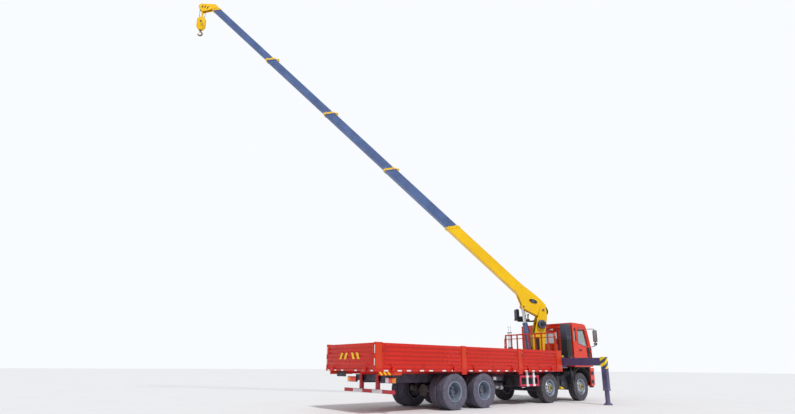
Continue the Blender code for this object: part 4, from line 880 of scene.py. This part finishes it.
def build_cab_glass(sizes):
    """Windscreen, quarter, rear and door panes with their rubber frames."""
    screen = [(11.318, 2.15), (11.318 + sizes.glass, 2.15), (11.098 + sizes.glass, 2.85), (11.098, 2.85)]
    parts = [outline("glass", screen, "Y", -1.07, 1.07, 0.0),
             block("glass", (10.0, -0.51, 2.26), (10.0 + sizes.glass, 0.51, 2.72), 0.0)]
    for _, side in SIDES:
        low, high = sorted((side * 1.190, side * (1.190 + sizes.glass)))
        parts.append(outline("glass", [(10.06, 2.33), (10.24, 2.31), (10.24, 2.87), (10.06, 2.87)], "Y",
                             low, high, 0.0))
    for z, x in ((2.165, 11.335), (2.83, 11.118)):
        parts.append(drum("dark", (x, -1.06, z), (x, 1.06, z), 0.014))
    for _, side in SIDES:
        parts.append(pipe("dark", [(11.335, side * 1.055, 2.165), (11.118, side * 1.055, 2.83)], 0.014,
                          False))
    for y in (-0.55, 0.35):
        parts.append(pipe("dark", [(11.36, y, 2.13), (11.35, y + 0.1, 2.20), (11.24, y + 0.55, 2.50)],
                          0.008, False))
    piece("cab_glass", parts, "chassis")
    for key, side in SIDES:
        low, high = sorted((side * 1.192, side * (1.192 + sizes.glass)))
        grown = [(10.352, 2.238), (10.82, 2.128), (11.082, 2.158), (10.91, 2.842), (10.352, 2.842)]
        parts = [outline("glass", grown, "Y", low, high, 0.0)]
        loop = [(x, side * 1.2155, z) for x, z in (*door_pane(), door_pane()[0])]
        parts.append(pipe("dark", loop, 0.011, False))
        face = sorted((side * 1.2205, side * 1.229))
        parts.append(outline("dark",
                             [(10.98, 1.74), (11.188, 1.60), (11.188, 2.10), (11.10, 2.12), (10.95, 2.10)],
                             "Y", *face))
        parts.append(block("dark", (10.38, face[0], 1.94), (10.60, face[1], 2.02), 0.004))
        parts.append(pipe("cab", [(10.41, side * 1.226, 1.985), (10.45, side * 1.25, 1.99),
                                  (10.54, side * 1.25, 1.99),
                                  (10.58, side * 1.226, 1.985)], 0.011))
        for z in (1.60, 1.68, 1.76):
            parts.append(pipe("cab", [(10.36, side * 1.2195, z), (10.92, side * 1.2195, z + 0.01)], 0.006,
                              False))
        parts.append(block("trim", (10.36, side * 1.115, 1.50), (11.12, side * 1.165, 2.06), 0.02))
        parts.append(drum("dark", (10.62, side * 1.219, 1.56), (10.62, side * 1.232, 1.56), 0.022))
        piece(f"door_trim_{key}", parts, f"door_{key}")


def build_cab(sizes):
    """Visor, lamps, mirrors, grille, steps, intake louvres and the fittings inside the cab."""
    parts = [outline("visor", [(11.16, 2.80), (11.30, 2.83), (11.31, 2.86), (11.13, 2.95), (10.98, 3.03),
                               (10.94, 3.03)], "Y", -1.10, 1.10, 0.01)]
    for y in (-0.95, -0.4, 0.0, 0.4, 0.95):
        parts.append(drum("amber_lens", (10.80, y, 3.055), (10.80, y, 3.085), 0.035, 20, 0.01))
    parts.append(block("cab", (10.02, -1.16, 3.045), (10.45, 1.16, 3.075), 0.012))
    for _, side in SIDES:
        parts.append(pipe("cab", [(10.02, side * 1.17, 3.055), (10.80, side * 1.17, 3.068),
                                  (11.02, side * 1.16, 2.98)],
                          0.018))
    for y in (-0.75, -0.55, 0.65, 0.85):
        parts.append(pipe("steel", [(9.972, y, 1.45), (9.955, y, 2.3), (9.965, y, 2.98)], sizes.hose))
    parts.append(block("cab", (9.955, -1.12, 2.86), (9.985, 1.12, 2.94), 0.008))
    parts.append(block("cab", (9.955, -1.12, 1.50), (9.985, 1.12, 1.57), 0.008))
    parts.append(block("clear_lens", (9.945, -0.36, 2.80), (9.965, -0.22, 2.86), 0.006))
    piece("roof_and_rear_wall_trim", parts, "chassis")
    parts = [block("dark", (11.355, -0.86, 1.44), (11.378, 0.86, 2.02), 0.012)]
    for k in range(5):
        parts.append(block("steel", (11.372, -0.82, 1.49 + 0.11 * k), (11.388, 0.82, 1.52 + 0.11 * k),
                           0.005))
    for _, side in SIDES:
        parts.append(block("clear_lens", (11.352, side * 0.72, 0.92), (11.384, side * 1.14, 1.10), 0.012))
        parts.append(block("amber_lens", (11.33, side * 1.15, 0.92), (11.38, side * 1.225, 1.10), 0.012))
        parts.append(block("dark", (11.32, side * 0.78, 0.66), (11.362, side * 1.10, 0.76), 0.01))
        for z in (0.66, 1.00):
            parts.append(block("dark", (11.11, side * 1.228, z), (11.30, side * 1.242, z + 0.14), 0.006))
            parts.append(block("steel", (11.12, side * 1.23, z), (11.29, side * 1.25, z + 0.02), 0.004))
        parts.append(block("dark", (11.12, side * 1.1, 0.50), (11.32, side * 1.2, 0.562), 0.01))
    parts.append(block("dark", (11.345, -0.60, 0.64), (11.366, 0.60, 0.86), 0.01))
    parts.append(block("white", (11.364, -0.22, 0.70), (11.370, 0.22, 0.80), 0.002))
    piece("front_lamps_and_steps", parts, "chassis")
    parts = []
    for _, side in SIDES:
        y0, y1 = sorted((side * 1.29, side * 1.47))
        parts.append(block("dark", (11.405, y0, 2.34), (11.465, y1, 2.82), 0.022))
        parts.append(block("mirror", (11.399, y0 + 0.015, 2.36), (11.406, y1 - 0.015, 2.80), 0.003))
        parts.append(drum("dark", (11.39, side * 1.38, 2.255), (11.47, side * 1.38, 2.255), 0.068, 28,
                          0.015))
        parts.append(drum("mirror", (11.384, side * 1.38, 2.255), (11.392, side * 1.38, 2.255), 0.058, 28,
                          0.002))
        parts.append(pipe("dark", [(11.20, side * 1.20, 2.86), (11.32, side * 1.30, 2.88),
                                   (11.44, side * 1.38, 2.86),
                                   (11.45, side * 1.38, 2.60), (11.45, side * 1.38, 2.22),
                                   (11.42, side * 1.30, 2.14),
                                   (11.33, side * 1.20, 2.13)], 0.014))
        face = sorted((side * 1.2205, side * 1.231))
        parts.append(outline("dark", [(11.245, 1.46), (11.352, 1.50), (11.338, 2.08), (11.245, 2.10)], "Y",
                             *face))
    piece("mirrors", parts, "chassis")
    parts = [block("trim", (11.00, -1.14, 1.66), (11.24, 1.14, 2.10), 0.05),
             drum("trim", (10.78, 0.62, 2.05), (11.05, 0.62, 1.86), 0.03)]
    parts.append(turned("dark",
                        [(-0.014, 0.235), (0.0, 0.249), (0.014, 0.235), (0.0, 0.221), (-0.014, 0.235)],
                        (10.78, 0.62, 2.05), "X", 36))
    parts.append(drum("dark", (10.77, 0.40, 2.05), (10.77, 0.84, 2.05), 0.012))
    for y in (-0.62, 0.62):
        parts.append(block("trim", (10.18, y - 0.26, 1.64), (10.70, y + 0.26, 1.84), 0.05))
        parts.append(outline("trim", [(10.16, 1.80), (10.30, 1.80), (10.20, 2.46), (10.08, 2.46)], "Y",
                             y - 0.25,
                             y + 0.25, 0.03))
        parts.append(block("trim", (10.07, y - 0.13, 2.46), (10.17, y + 0.13, 2.66), 0.03))
    parts.append(block("trim", (10.05, -1.14, 1.605), (11.26, 1.14, 1.625), 0.004))
    piece("cab_inside", parts, "chassis")
    parts = [outline("cowl", [(9.555, 2.44), (9.885, 2.44), (9.885, 2.963), (9.842, 3.004), (9.608, 3.004),
                              (9.555, 2.903)], "Y", -1.205, -0.925, 0.006)]
    for k in range(12):
        z = 1.76 + 0.052 * k
        parts.append(block("dark", (9.60, -1.212, z), (9.84, -1.196, z + 0.028), 0.004))
        parts.append(block("dark", (9.548, -1.17, z), (9.564, -0.96, z + 0.028), 0.004))
    for k in range(7):
        parts.append(block("dark", (9.60, -1.215, 2.50 + 0.062 * k), (9.84, -1.203, 2.53 + 0.062 * k),
                           0.004))
    parts.append(drum("dark", (9.72, -0.94, 1.90), (9.72, -0.60, 1.72), 0.08))
    parts.append(block("yellow", (9.44, -1.02, 1.675), (9.53, -0.93, 1.75), 0.01))
    parts.append(drum("white", (9.95, -1.10, 1.66), (9.95, -1.10, 1.72), 0.03, 18, 0.01))
    piece("intake_louvres", parts, "chassis")


# ---------------------------------------------------------------- crane
def build_column(sizes):
    """Winch motor, pins, bolts, hoses and rope on the column."""
    parts = []
    y = 0.20
    for k in range(5):
        parts.append(drum("steel", (WINCH_X, y + 0.02 * k, WINCH_Z),
                          (WINCH_X, y + 0.013 + 0.02 * k, WINCH_Z), 0.176, 36, 0.003))
    parts.append(drum("steel", (WINCH_X, 0.19, WINCH_Z), (WINCH_X, 0.325, WINCH_Z), 0.168, 36, 0.01))
    parts.append(drum("dark", (WINCH_X, 0.32, WINCH_Z), (WINCH_X, 0.37, WINCH_Z), 0.085, 30, 0.012))
    parts += bolts("grey", ring((WINCH_X, 0.324, WINCH_Z), 0.13, 8, "Y"), "Y", 0.011)
    for side in (-1, 1):
        face = side * 0.190
        parts.append(drum("crane", (PIVOT_X, face, PIVOT_Z), (PIVOT_X, face + side * 0.016, PIVOT_Z), 0.075,
                          32))
        parts.append(drum("steel", (PIVOT_X, face, PIVOT_Z), (PIVOT_X, face + side * 0.024, PIVOT_Z), 0.045,
                          24))
        parts += bolts("steel", ring((PIVOT_X, face + side * 0.015, PIVOT_Z), 0.06, 6, "Y"), "Y", 0.007,
                       side * 0.008)
        ear = side * 0.100
        parts.append(drum("steel", (0.40, ear, 1.86), (0.40, ear + side * 0.022, 1.86), 0.040, 24))
        parts.append(outline("crane", [(0.05, 2.64), (0.13, 2.60), (0.24, 2.62), (0.14, 2.72), (0.10, 2.95),
                                       (0.03, 3.30), (-0.02, 3.30), (0.02, 2.95)], "Y",
                             min(side * 0.150, side * 0.196), max(side * 0.150, side * 0.196)))
        # Painted shade: a thin black sheet on each side stands in for the shadowed recess in the column's
        # lower part.
        parts.append(block("dark", (0.01, side * 0.139, 1.97), (0.15, side * 0.143, 2.50), 0.0))
    parts += bolts("grey", ring((0, 0, 1.851), 0.25, 16, "Z"), "Z", 0.014, 0.016)
    parts.append(drum("grey", (0, 0, 1.765), (0, 0, 1.782), 0.288, 48, 0.003))
    parts.append(block("steel", (-0.10, -0.11, 2.60), (0.14, 0.11, 2.74), 0.012))
    for k in range(4):
        x = -0.30 + 0.022 * k
        parts.append(pipe("dark", [(-0.20, -0.10 + 0.05 * k, 2.66), (-0.34, -0.10 + 0.05 * k, 2.80),
                                   (x - 0.09, -0.10 + 0.05 * k, 3.10), (x - 0.06, -0.09 + 0.05 * k, 3.36),
                                   (x + 0.06, -0.08 + 0.05 * k, 3.42)], sizes.hose))
        parts.append(pipe("dark", [(0.02, -0.12 + 0.07 * k, 2.72), (0.06, -0.11 + 0.06 * k, 2.95),
                                   (-0.02, -0.10 + 0.06 * k, 3.15), (-0.10, -0.09 + 0.05 * k, 3.30)],
                          sizes.hose))
    piece("column_fittings", parts, "column", COLUMN)
    coils = []
    turns, width = 15, 0.262
    for k in range(turns):
        y = -width / 2 + width * (k + 0.5) / turns
        coils.append(turned("rope", [(y - 0.007, 0.088), (y - 0.005, 0.100), (y, 0.104), (y + 0.005, 0.100),
                                     (y + 0.007, 0.088), (y - 0.007, 0.088)], (WINCH_X, 0, WINCH_Z), "Y",
                            28))
    piece("rope_on_drum", coils, "winch_drum", COLUMN)
    cushions = [block("seat", (0.35, -0.61, 3.31), (0.73, -0.25, 3.39), 0.03),
                block("seat", (0.655, -0.60, 3.34), (0.75, -0.26, 3.70), 0.035)]
    pad = piece("seat_cushions", cushions, "column", COLUMN)
    parts = [pipe("grey", [(0.30, -0.52, 3.20), (0.26, -0.50, 3.50), (0.24, -0.48, 3.62)], 0.012)]
    for k in range(4):
        parts.append(pipe("grey", [(0.22, -0.34 - 0.05 * k, 3.26), (0.20, -0.34 - 0.05 * k, 3.46)], 0.007))
        parts.append(drum("dark", (0.20, -0.34 - 0.05 * k, 3.45), (0.198, -0.34 - 0.05 * k, 3.50), 0.014,
                          16))
    parts.append(block("steel", (0.17, -0.52, 3.20), (0.27, -0.31, 3.28), 0.01))
    piece("seat_levers", parts, "column", COLUMN)


def build_controls(sizes):
    """Ground-level control stand at the left, behind the headboard."""
    parts = [block("base", (9.02, 1.02, 1.42), (9.05, 1.24, 1.60), 0.006),
             block("base", (8.985, 1.03, 1.60), (9.045, 1.26, 2.12), 0.012)]
    for k in range(6):
        y = 1.05 + 0.038 * k
        top = 2.96 if k in (1, 4) else 2.72
        parts.append(pipe("grey", [(9.012, y, 2.08), (9.012, y, top - 0.10), (9.0, y + 0.004, top)], 0.006,
                          False))
        parts.append(drum("dark", (9.0, y + 0.004, top - 0.02), (9.0, y + 0.004, top + 0.03), 0.012, 14))
    parts.append(pipe("grey", [(9.012, 1.03, 2.74), (9.012, 1.26, 2.74)], 0.007, False))
    parts.append(pipe("grey", [(9.012, 1.03, 2.40), (9.012, 1.26, 2.40)], 0.007, False))
    parts.append(block("base", (8.985, 1.00, 1.42), (9.045, 1.04, 2.00), 0.006))
    piece("control_stand", parts, "chassis")
    parts = []
    for x in (9.045, 9.675):
        for z in (1.40, 1.62):
            parts += bolts("grey", [(x, y, z) for y in (-0.34, -0.17, 0.17, 0.34)], "X", sizes.bolt,
                           0.008 if x > 9.4 else -0.008)
    for _, side in SIDES:
        for x in BEAM_X.values():
            low, high = sorted((side * 0.99, side * 1.026))
            for a, b, c, d in ((x - 0.142, x + 0.142, 1.668, 1.684), (x - 0.142, x + 0.142, 1.316, 1.332),
                               (x - 0.142, x - 0.132, 1.32, 1.68), (x + 0.132, x + 0.142, 1.32, 1.68)):
                parts.append(block("base", (a, low, c), (b, high, d), 0.002))
    parts += bolts("grey", ring((SLEW_X, 0, 1.671), 0.30, 14, "Z"), "Z", sizes.bolt)
    for k in range(3):
        parts.append(pipe("dark", [(9.10, -0.3 + 0.06 * k, 1.69), (9.12, -0.5 + 0.05 * k, 1.75),
                                   (9.20, -0.75, 1.72 + 0.02 * k), (9.30, -0.95, 1.69)], sizes.hose))
    piece("base_fittings", parts, "chassis")
    for key, side in SIDES:
        x = BEAM_X[key]
        y = side * LEG_Y
        parts = [block("beam", (x - 0.098, side * 2.735, 1.655), (x + 0.098, side * 2.925, 1.668), 0.003),
                 block("yellow", (x + 0.088, y - 0.02, 0.80), (x + 0.102, y + 0.02, 0.88), 0.003),
                 block("beam", (x - 0.100, side * 2.73, 0.493), (x + 0.100, side * 2.93, 0.53), 0.006)]
        parts += bolts("grey", [(x + 0.09, y + a, z) for a in (-0.06, 0.06) for z in (0.60, 1.20)], "X",
                       0.009, 0.008)
        piece(f"leg_trim_{key}", parts, f"outrigger_{key}")
        parts = [turned("base",
                        [(0.004, 0.0), (0.004, 0.146), (0.010, 0.151), (0.020, 0.151), (0.026, 0.146),
                                 (0.030, 0.11), (0.070, 0.086), (0.074, 0.0)], (x, y, 0), "Z", 48),
                 drum("steel", (x, y, 0.075), (x, y, 0.096), 0.084, 36)]
        for a in range(4):
            turn = a * math.pi / 2 + 0.4
            c, s = math.cos(turn), math.sin(turn)
            parts.append(pipe("base",
                              [(x + 0.07 * c, y + 0.07 * s, 0.074), (x + 0.14 * c, y + 0.14 * s, 0.028)],
                              0.008, False))
        piece(f"foot_trim_{key}", parts, f"jack_{key}")


def root_window(length, height):
    """The oval hole of the boom's root, tilted towards level."""
    tilt = math.radians(-24)
    points = []
    for k in range(32):
        a, b = length * math.cos(k * math.pi / 16), height * math.sin(k * math.pi / 16)
        points.append((0.53 + a * math.cos(tilt) - b * math.sin(tilt),
                       a * math.sin(tilt) + b * math.cos(tilt)))
    return points


def build_boom(sizes):
    """Root window, pins, pads, collar bolts and hoses of the boom."""
    half = 0.1405
    parts = []
    for side in (-1, 1):
        face = side * half
        loop, inner = root_window(0.205, 0.108), root_window(0.180, 0.085)
        parts.append(outline("crane", loop, "Y", *sorted((face, face + side * 0.008)), 0.003))
        # Painted shade: the black oval inside the window stands in for the shadowed inside of the hole.
        parts.append(outline("dark", inner, "Y", *sorted((face, face + side * 0.011)), 0.0))
        parts.append(outline("steel", root_window(0.09, 0.045), "Y", *sorted((face, face + side * 0.014)),
                             0.002))
        parts.append(drum("crane", (0.685, face, -0.45), (0.685, face + side * 0.014, -0.45), 0.062, 28))
        parts.append(drum("steel", (0.685, face, -0.45), (0.685, face + side * 0.022, -0.45), 0.038, 22))
        for t, n in ((0.04, -0.29), (0.40, -0.33), (-0.02, 0.10), (1.28, 0.10)):
            parts.append(drum("grey", (t, face, n), (t, face + side * 0.008, n), 0.018, 16))
        parts.append(outline("crane", [(1.25, -0.196), (5.06, -0.196), (5.06, -0.176), (1.25, -0.176)], "Y",
                             *sorted((face - side * 0.002, face + side * 0.004)), 0.0))
        parts.append(outline("crane", [(1.25, 0.176), (4.80, 0.176), (4.80, 0.196), (1.25, 0.196)], "Y",
                             *sorted((face - side * 0.002, face + side * 0.004)), 0.0))
        parts.append(outline("crane", [(-0.06, -0.30), (0.03, -0.335), (0.66, -0.505), (0.66, -0.47),
                                       (0.04, -0.30)],
                             "Y", *sorted((face, face + side * 0.006)), 0.0))
    for k in range(3):
        parts.append(pipe("dark",
                          [(-0.02, -0.08 + 0.05 * k, -0.20), (-0.22, -0.08 + 0.05 * k, -0.18 + 0.02 * k),
                                   (-0.30, -0.07 + 0.05 * k, 0.02), (-0.20, -0.06 + 0.05 * k, 0.20),
                                   (0.0, -0.05 + 0.05 * k, 0.24)], sizes.hose))
    parts += collar_bolts(sizes, 5.333, 0.421, 0.280, 0.14)
    piece("base_boom_fittings", parts, "boom_base", BOOM)
    for number in range(2, 6):
        end, high, wide = SECTION_END[number - 1], SECTION_H[number - 1], SECTION_W[number - 1]
        length = 0.10 if number == 5 else 0.14
        parts = collar_bolts(sizes, end, high, wide, length)
        if number < 5:
            top = high / 2 + 0.014
            shift = end - 0.13 - SLANT * high
            for y in (-0.045, 0.035):
                parts.append(outline("crane",
                                     [(shift - 0.10, top), (shift + 0.06, top), (shift + 0.02, top + 0.10),
                                               (shift - 0.05, top + 0.13), (shift - 0.09, top + 0.11)], "Y",
                                     y, y + 0.010))
            parts.append(drum("crane", (shift - 0.04, -0.036, top + 0.085),
                              (shift - 0.04, 0.036, top + 0.085), 0.032,
                              20))
            parts.append(drum("steel", (shift - 0.04, -0.058, top + 0.085),
                              (shift - 0.04, 0.058, top + 0.085), 0.014,
                              14))
        piece(f"collar_fittings_{number}", parts, f"boom_section_{number}", BOOM)


def collar_bolts(sizes, end, high, wide, length):
    """Adjusting bolts and welded straps round a section's front collar."""
    parts = []
    middle = end - length / 2 - 0.35 * high
    for side in (-1, 1):
        face = side * (wide / 2 + 0.015)
        for n in (-0.3, 0.3):
            spot_on = (middle - SLANT * n * high, face, n * high)
            parts += bolts("grey", [spot_on], "Y", sizes.bolt * 1.3, side * 0.012)
        for n in (-0.3, 0.3):
            x = middle + 0.06 - SLANT * n * high
            parts.append(block("crane", (x - 0.045, face - side * 0.002, n * high - 0.03),
                               (x + 0.02, face + side * 0.008, n * high + 0.03), 0.003))
    for y in (-0.25, 0.25):
        parts += bolts("grey", [(middle - 0.35 * high - 0.02, y * wide, high / 2 + 0.014)], "Z",
                       sizes.bolt * 1.3, 0.02)
        parts += bolts("grey", [(middle + 0.35 * high, y * wide, -high / 2 - 0.014)], "Z", sizes.bolt * 1.3,
                       -0.014)
    return parts


def build_hook(sizes):
    """Head sheave, rope falls, block sheaves and hook latch."""
    end = SECTION_END[4]
    groove = [(-0.020, 0.130), (-0.018, 0.150), (-0.008, 0.140), (0.008, 0.140), (0.018, 0.150),
              (0.020, 0.130),
              (0.020, 0.04), (-0.020, 0.04), (-0.020, 0.130)]
    parts = [turned("steel", groove, (end + 0.37, 0, -0.38), "Y", 40)]
    for side in (-1, 1):
        face = side * 0.081
        parts.append(drum("crane", (end + 0.37, face, -0.38), (end + 0.37, face + side * 0.012, -0.38),
                          0.070, 28))
        parts.append(drum("steel", (end + 0.37, face, -0.38), (end + 0.37, face + side * 0.020, -0.38),
                          0.040, 22))
        parts += bolts("grey",
                       [(end + 0.10, face, 0.02), (end + 0.24, face, -0.42), (end + 0.48, face, -0.44)],
                       "Y", 0.013, side * 0.010)
        for k in range(3):
            x = end + 0.14 + 0.11 * k
            stripe = [(x, -0.30 - 0.04 * k), (x + 0.045, -0.31 - 0.04 * k), (x + 0.095, -0.17 - 0.06 * k),
                      (x + 0.05, -0.16 - 0.06 * k)]
            parts.append(outline("dark", stripe, "Y", *sorted((face, face + side * 0.003)), 0.0))
    parts.append(drum("steel", (end + 0.50, -0.082, -0.49), (end + 0.50, 0.082, -0.49), 0.014))
    parts.append(drum("steel", (end + 0.12, -0.06, -0.17), (end + 0.12, 0.06, -0.17), 0.045))
    piece("boom_head_fittings", parts, "boom_section_5", BOOM)
    parts = []
    for side in (-1, 1):
        for x in (-0.125, 0.125):
            parts.append(pipe("rope", [(x, side * 0.006, -0.02), (x * 0.98, side * 0.018, -0.62)],
                              sizes.rope, False))
        face = side * 0.060
        parts.append(outline("crane",
                             [(-0.10, -0.53), (0.10, -0.53), (0.185, -0.64), (0.185, -1.03), (0.08, -1.19),
                                       (-0.08, -1.19), (-0.185, -1.03), (-0.185, -0.64)], "Y",
                             *sorted((face, face + side * 0.008))))
        parts.append(drum("steel", (0, face, -0.76), (0, face + side * 0.022, -0.76), 0.045, 24))
        parts += bolts("grey", [(x, face + side * 0.007, z) for x in (-0.13, 0.13) for z in (-0.66, -1.00)],
                       "Y",
                       0.012, side * 0.008)
        for k in range(3):
            z = -0.90 - 0.07 * k
            stripe = [(-0.14, z), (-0.09, z), (0.02, z + 0.05), (-0.03, z + 0.05)]
            parts.append(outline("dark", stripe, "Y", *sorted((face + side * 0.0075, face + side * 0.009)),
                                 0.0))
    parts.append(turned("steel",
                        [(-0.012, 0.150), (-0.012, 0.165), (0.012, 0.165), (0.012, 0.150), (0.0, 0.140),
                                  (-0.012, 0.150)], (0, 0, -0.76), "Y", 36))
    curve = []
    for k in range(13):
        a = math.radians(95 + 250 * k / 12)
        grow = 0.092 + 0.004 * math.sin(math.pi * k / 12)
        curve.append((grow * math.cos(a), 0, -1.40 + grow * math.sin(a)))
    parts.append(pipe("steel", [(0, 0, -1.17), (0, 0, -1.26), *curve], 0.031, True, 5))
    parts.append(drum("steel", (0, 0, -1.18), (0, 0, -1.26), 0.048, 8))
    parts.append(pipe("grey", [(0.02, 0, -1.30), (0.05, 0, -1.345), (0.085, 0, -1.40)], 0.007, False))
    piece("block_fittings", parts, "hook", HOOK)


def build_cylinder():
    """Gland, ports and pipe of the luffing cylinder."""
    parts = [drum("slate", (1.15, 0, 0), (1.236, 0, 0), 0.108, 36, 0.006),
             drum("steel", (1.2355, 0, 0), (1.246, 0, 0), 0.088, 30, 0.003),
             drum("slate", (0.10, 0, 0), (0.135, 0, 0), 0.106, 36, 0.006),
             pipe("steel", [(0.18, 0, 0.105), (0.25, 0, 0.122), (0.9, 0, 0.122), (1.15, 0, 0.108)], 0.011),
             block("steel", (0.14, -0.035, 0.09), (0.22, 0.035, 0.14), 0.006)]
    piece("cylinder_fittings", parts, "luff_barrel", CYLINDER)


# ---------------------------------------------------------------- stage
# The camera stands on the lorry's frame, with its turns in degrees; its focal length and centre go with FRAME.
FRAME = (795, 414)
FOCAL = 466.998
CENTRE = (393.588, 252.394)
YAW, PITCH, ROLL = 39.012, 13.811, 0.401
STAND = (-7.699, -11.504, 1.252)
SENSOR = 36.0


def build_stage():
    """Pale floor, soft lights and the camera."""
    solo()
    bpy.ops.mesh.primitive_plane_add(size=400, location=(0, 0, 0))
    floor = bpy.context.object
    floor.name = "floor"
    look = Finish("pale_floor", 0.85).base((0.86, 0.86, 0.87), 0.02, 0.6)
    floor.data.materials.append(look.done(0.02))
    world = bpy.data.worlds.new("studio")
    world.use_nodes = True
    nodes, links = world.node_tree.nodes, world.node_tree.links
    nodes["Background"].inputs["Color"].default_value = (0.95, 0.97, 1.0, 1.0)
    seen = nodes.new("ShaderNodeMapRange")
    seen.inputs["To Min"].default_value = 0.50
    seen.inputs["To Max"].default_value = 1.0
    links.new(nodes.new("ShaderNodeLightPath").outputs["Is Camera Ray"], seen.inputs["Value"])
    links.new(seen.outputs["Result"], nodes["Background"].inputs["Strength"])
    bpy.context.scene.world = world
    for name, energy, angle, turn in (("key", 2.0, 8, (38, 8, -22)), ("fill", 0.25, 60, (62, 0, -120))):
        lamp = bpy.data.lights.new(name, "SUN")
        lamp.energy = energy
        lamp.angle = math.radians(angle)
        obj = bpy.data.objects.new(name, lamp)
        obj.rotation_euler = [math.radians(value) for value in turn]
        bpy.context.scene.collection.objects.link(obj)
    yaw, pitch, roll = math.radians(YAW), math.radians(PITCH), math.radians(ROLL)
    ahead = Vector((math.sin(yaw) * math.cos(pitch), math.cos(yaw) * math.cos(pitch), math.sin(pitch)))
    right = Vector((math.cos(yaw), -math.sin(yaw), 0))
    up = right.cross(ahead)
    across = right * math.cos(roll) + up * math.sin(roll)
    upright = up * math.cos(roll) - right * math.sin(roll)
    lens = bpy.data.cameras.new("camera")
    lens.sensor_width = SENSOR
    lens.lens = SENSOR * FOCAL / FRAME[0]
    lens.shift_x = (FRAME[0] / 2 - CENTRE[0]) / FRAME[0]
    lens.shift_y = (CENTRE[1] - FRAME[1] / 2) / FRAME[0]
    lens.clip_end = 1000
    camera = bpy.data.objects.new("camera", lens)
    turn = Matrix((across, upright, -ahead)).transposed().to_4x4()
    camera.matrix_world = Matrix.Translation(LORRY @ Vector(STAND)) @ turn
    bpy.context.scene.collection.objects.link(camera)
    bpy.context.scene.camera = camera
    bpy.context.scene.view_settings.view_transform = "Standard"


# ---------------------------------------------------------------- operators
def operator(key, label, text, work):
    """An operator class that runs one building function."""
    def execute(self, context):
        work(context.scene)
        return {"FINISHED"}

    name = f"CRANE_OT_{key}"
    return type(name, (bpy.types.Operator,),
                {"bl_idname": f"crane.{key}", "bl_label": label, "__doc__": text,
                                              "execute": execute})


def paint_frame(scene):
    """Finishes on the frame's own solids."""
    make_finishes(scene.crane_colours)
    for node, finish in NODE_FINISH.items():
        slots = frame["nodes"][node].material_slots
        for item in slots:
            item.material = FINISHES[finish]


STEPS = (
    ("paint_frame", "Paint", "Give every solid of the frame its finish", paint_frame),
    ("wheels", "Wheels", "Add the treaded tyres and dished rims", lambda s: build_wheels(s.crane_sizes)),
    ("chassis", "Chassis", "Add springs, tanks, boxes and guards", lambda s: build_chassis(s.crane_sizes)),
    ("tail", "Tail", "Add the lamps and marks at the back", lambda s: build_tail()),
    ("body", "Cargo body", "Add boards, tape, rails and latches", lambda s: build_body(s.crane_sizes)),
    ("cab_glass", "Cab glass", "Add the panes and the door trim", lambda s: build_cab_glass(s.crane_sizes)),
    ("cab", "Cab", "Add lamps, mirrors, steps and the inside", lambda s: build_cab(s.crane_sizes)),
    ("column", "Column", "Add the winch, seat and column fittings", lambda s: build_column(s.crane_sizes)),
    ("controls", "Outriggers", "Add the control stand and leg fittings",
     lambda s: build_controls(s.crane_sizes)),
    ("cylinder", "Luffing cylinder", "Add the gland and pipe", lambda s: build_cylinder()),
    ("boom", "Boom", "Add collar bolts, pins and hoses", lambda s: build_boom(s.crane_sizes)),
    ("hook", "Hook", "Add sheaves, falls and hook", lambda s: build_hook(s.crane_sizes)),
    ("stage", "Stage", "Add floor, lights and camera", lambda s: build_stage()),
)
OPERATORS = [operator(*step) for step in STEPS]


class CRANE_PT_pieces(bpy.types.Panel):
    """Lists the building steps"""
    bl_label = "Truck crane"
    bl_idname = "CRANE_PT_pieces"
    bl_space_type = "VIEW_3D"
    bl_region_type = "UI"
    bl_category = "Truck crane"

    def draw(self, context):
        for key, label, _, _ in STEPS:
            self.layout.operator(f"crane.{key}", text=label)
        for group in (context.scene.crane_sizes, context.scene.crane_colours):
            for name in group.bl_rna.properties.keys():
                if name not in ("rna_type", "name"):
                    self.layout.prop(group, name)


CLASSES = (CraneSizes, CraneColours, *OPERATORS, CRANE_PT_pieces)


def register():
    """Register the classes and their settings."""
    for item in CLASSES:
        bpy.utils.register_class(item)
    bpy.types.Scene.crane_sizes = bpy.props.PointerProperty(type=CraneSizes)
    bpy.types.Scene.crane_colours = bpy.props.PointerProperty(type=CraneColours)


def unregister():
    """Take the classes and settings away again."""
    del bpy.types.Scene.crane_colours
    del bpy.types.Scene.crane_sizes
    for item in reversed(CLASSES):
        bpy.utils.unregister_class(item)


def main():
    """Build everything in order and note the sizes."""
    register()
    for key, _, _, _ in STEPS:
        getattr(bpy.ops.crane, key)()


if __name__ == "__main__":
    main()
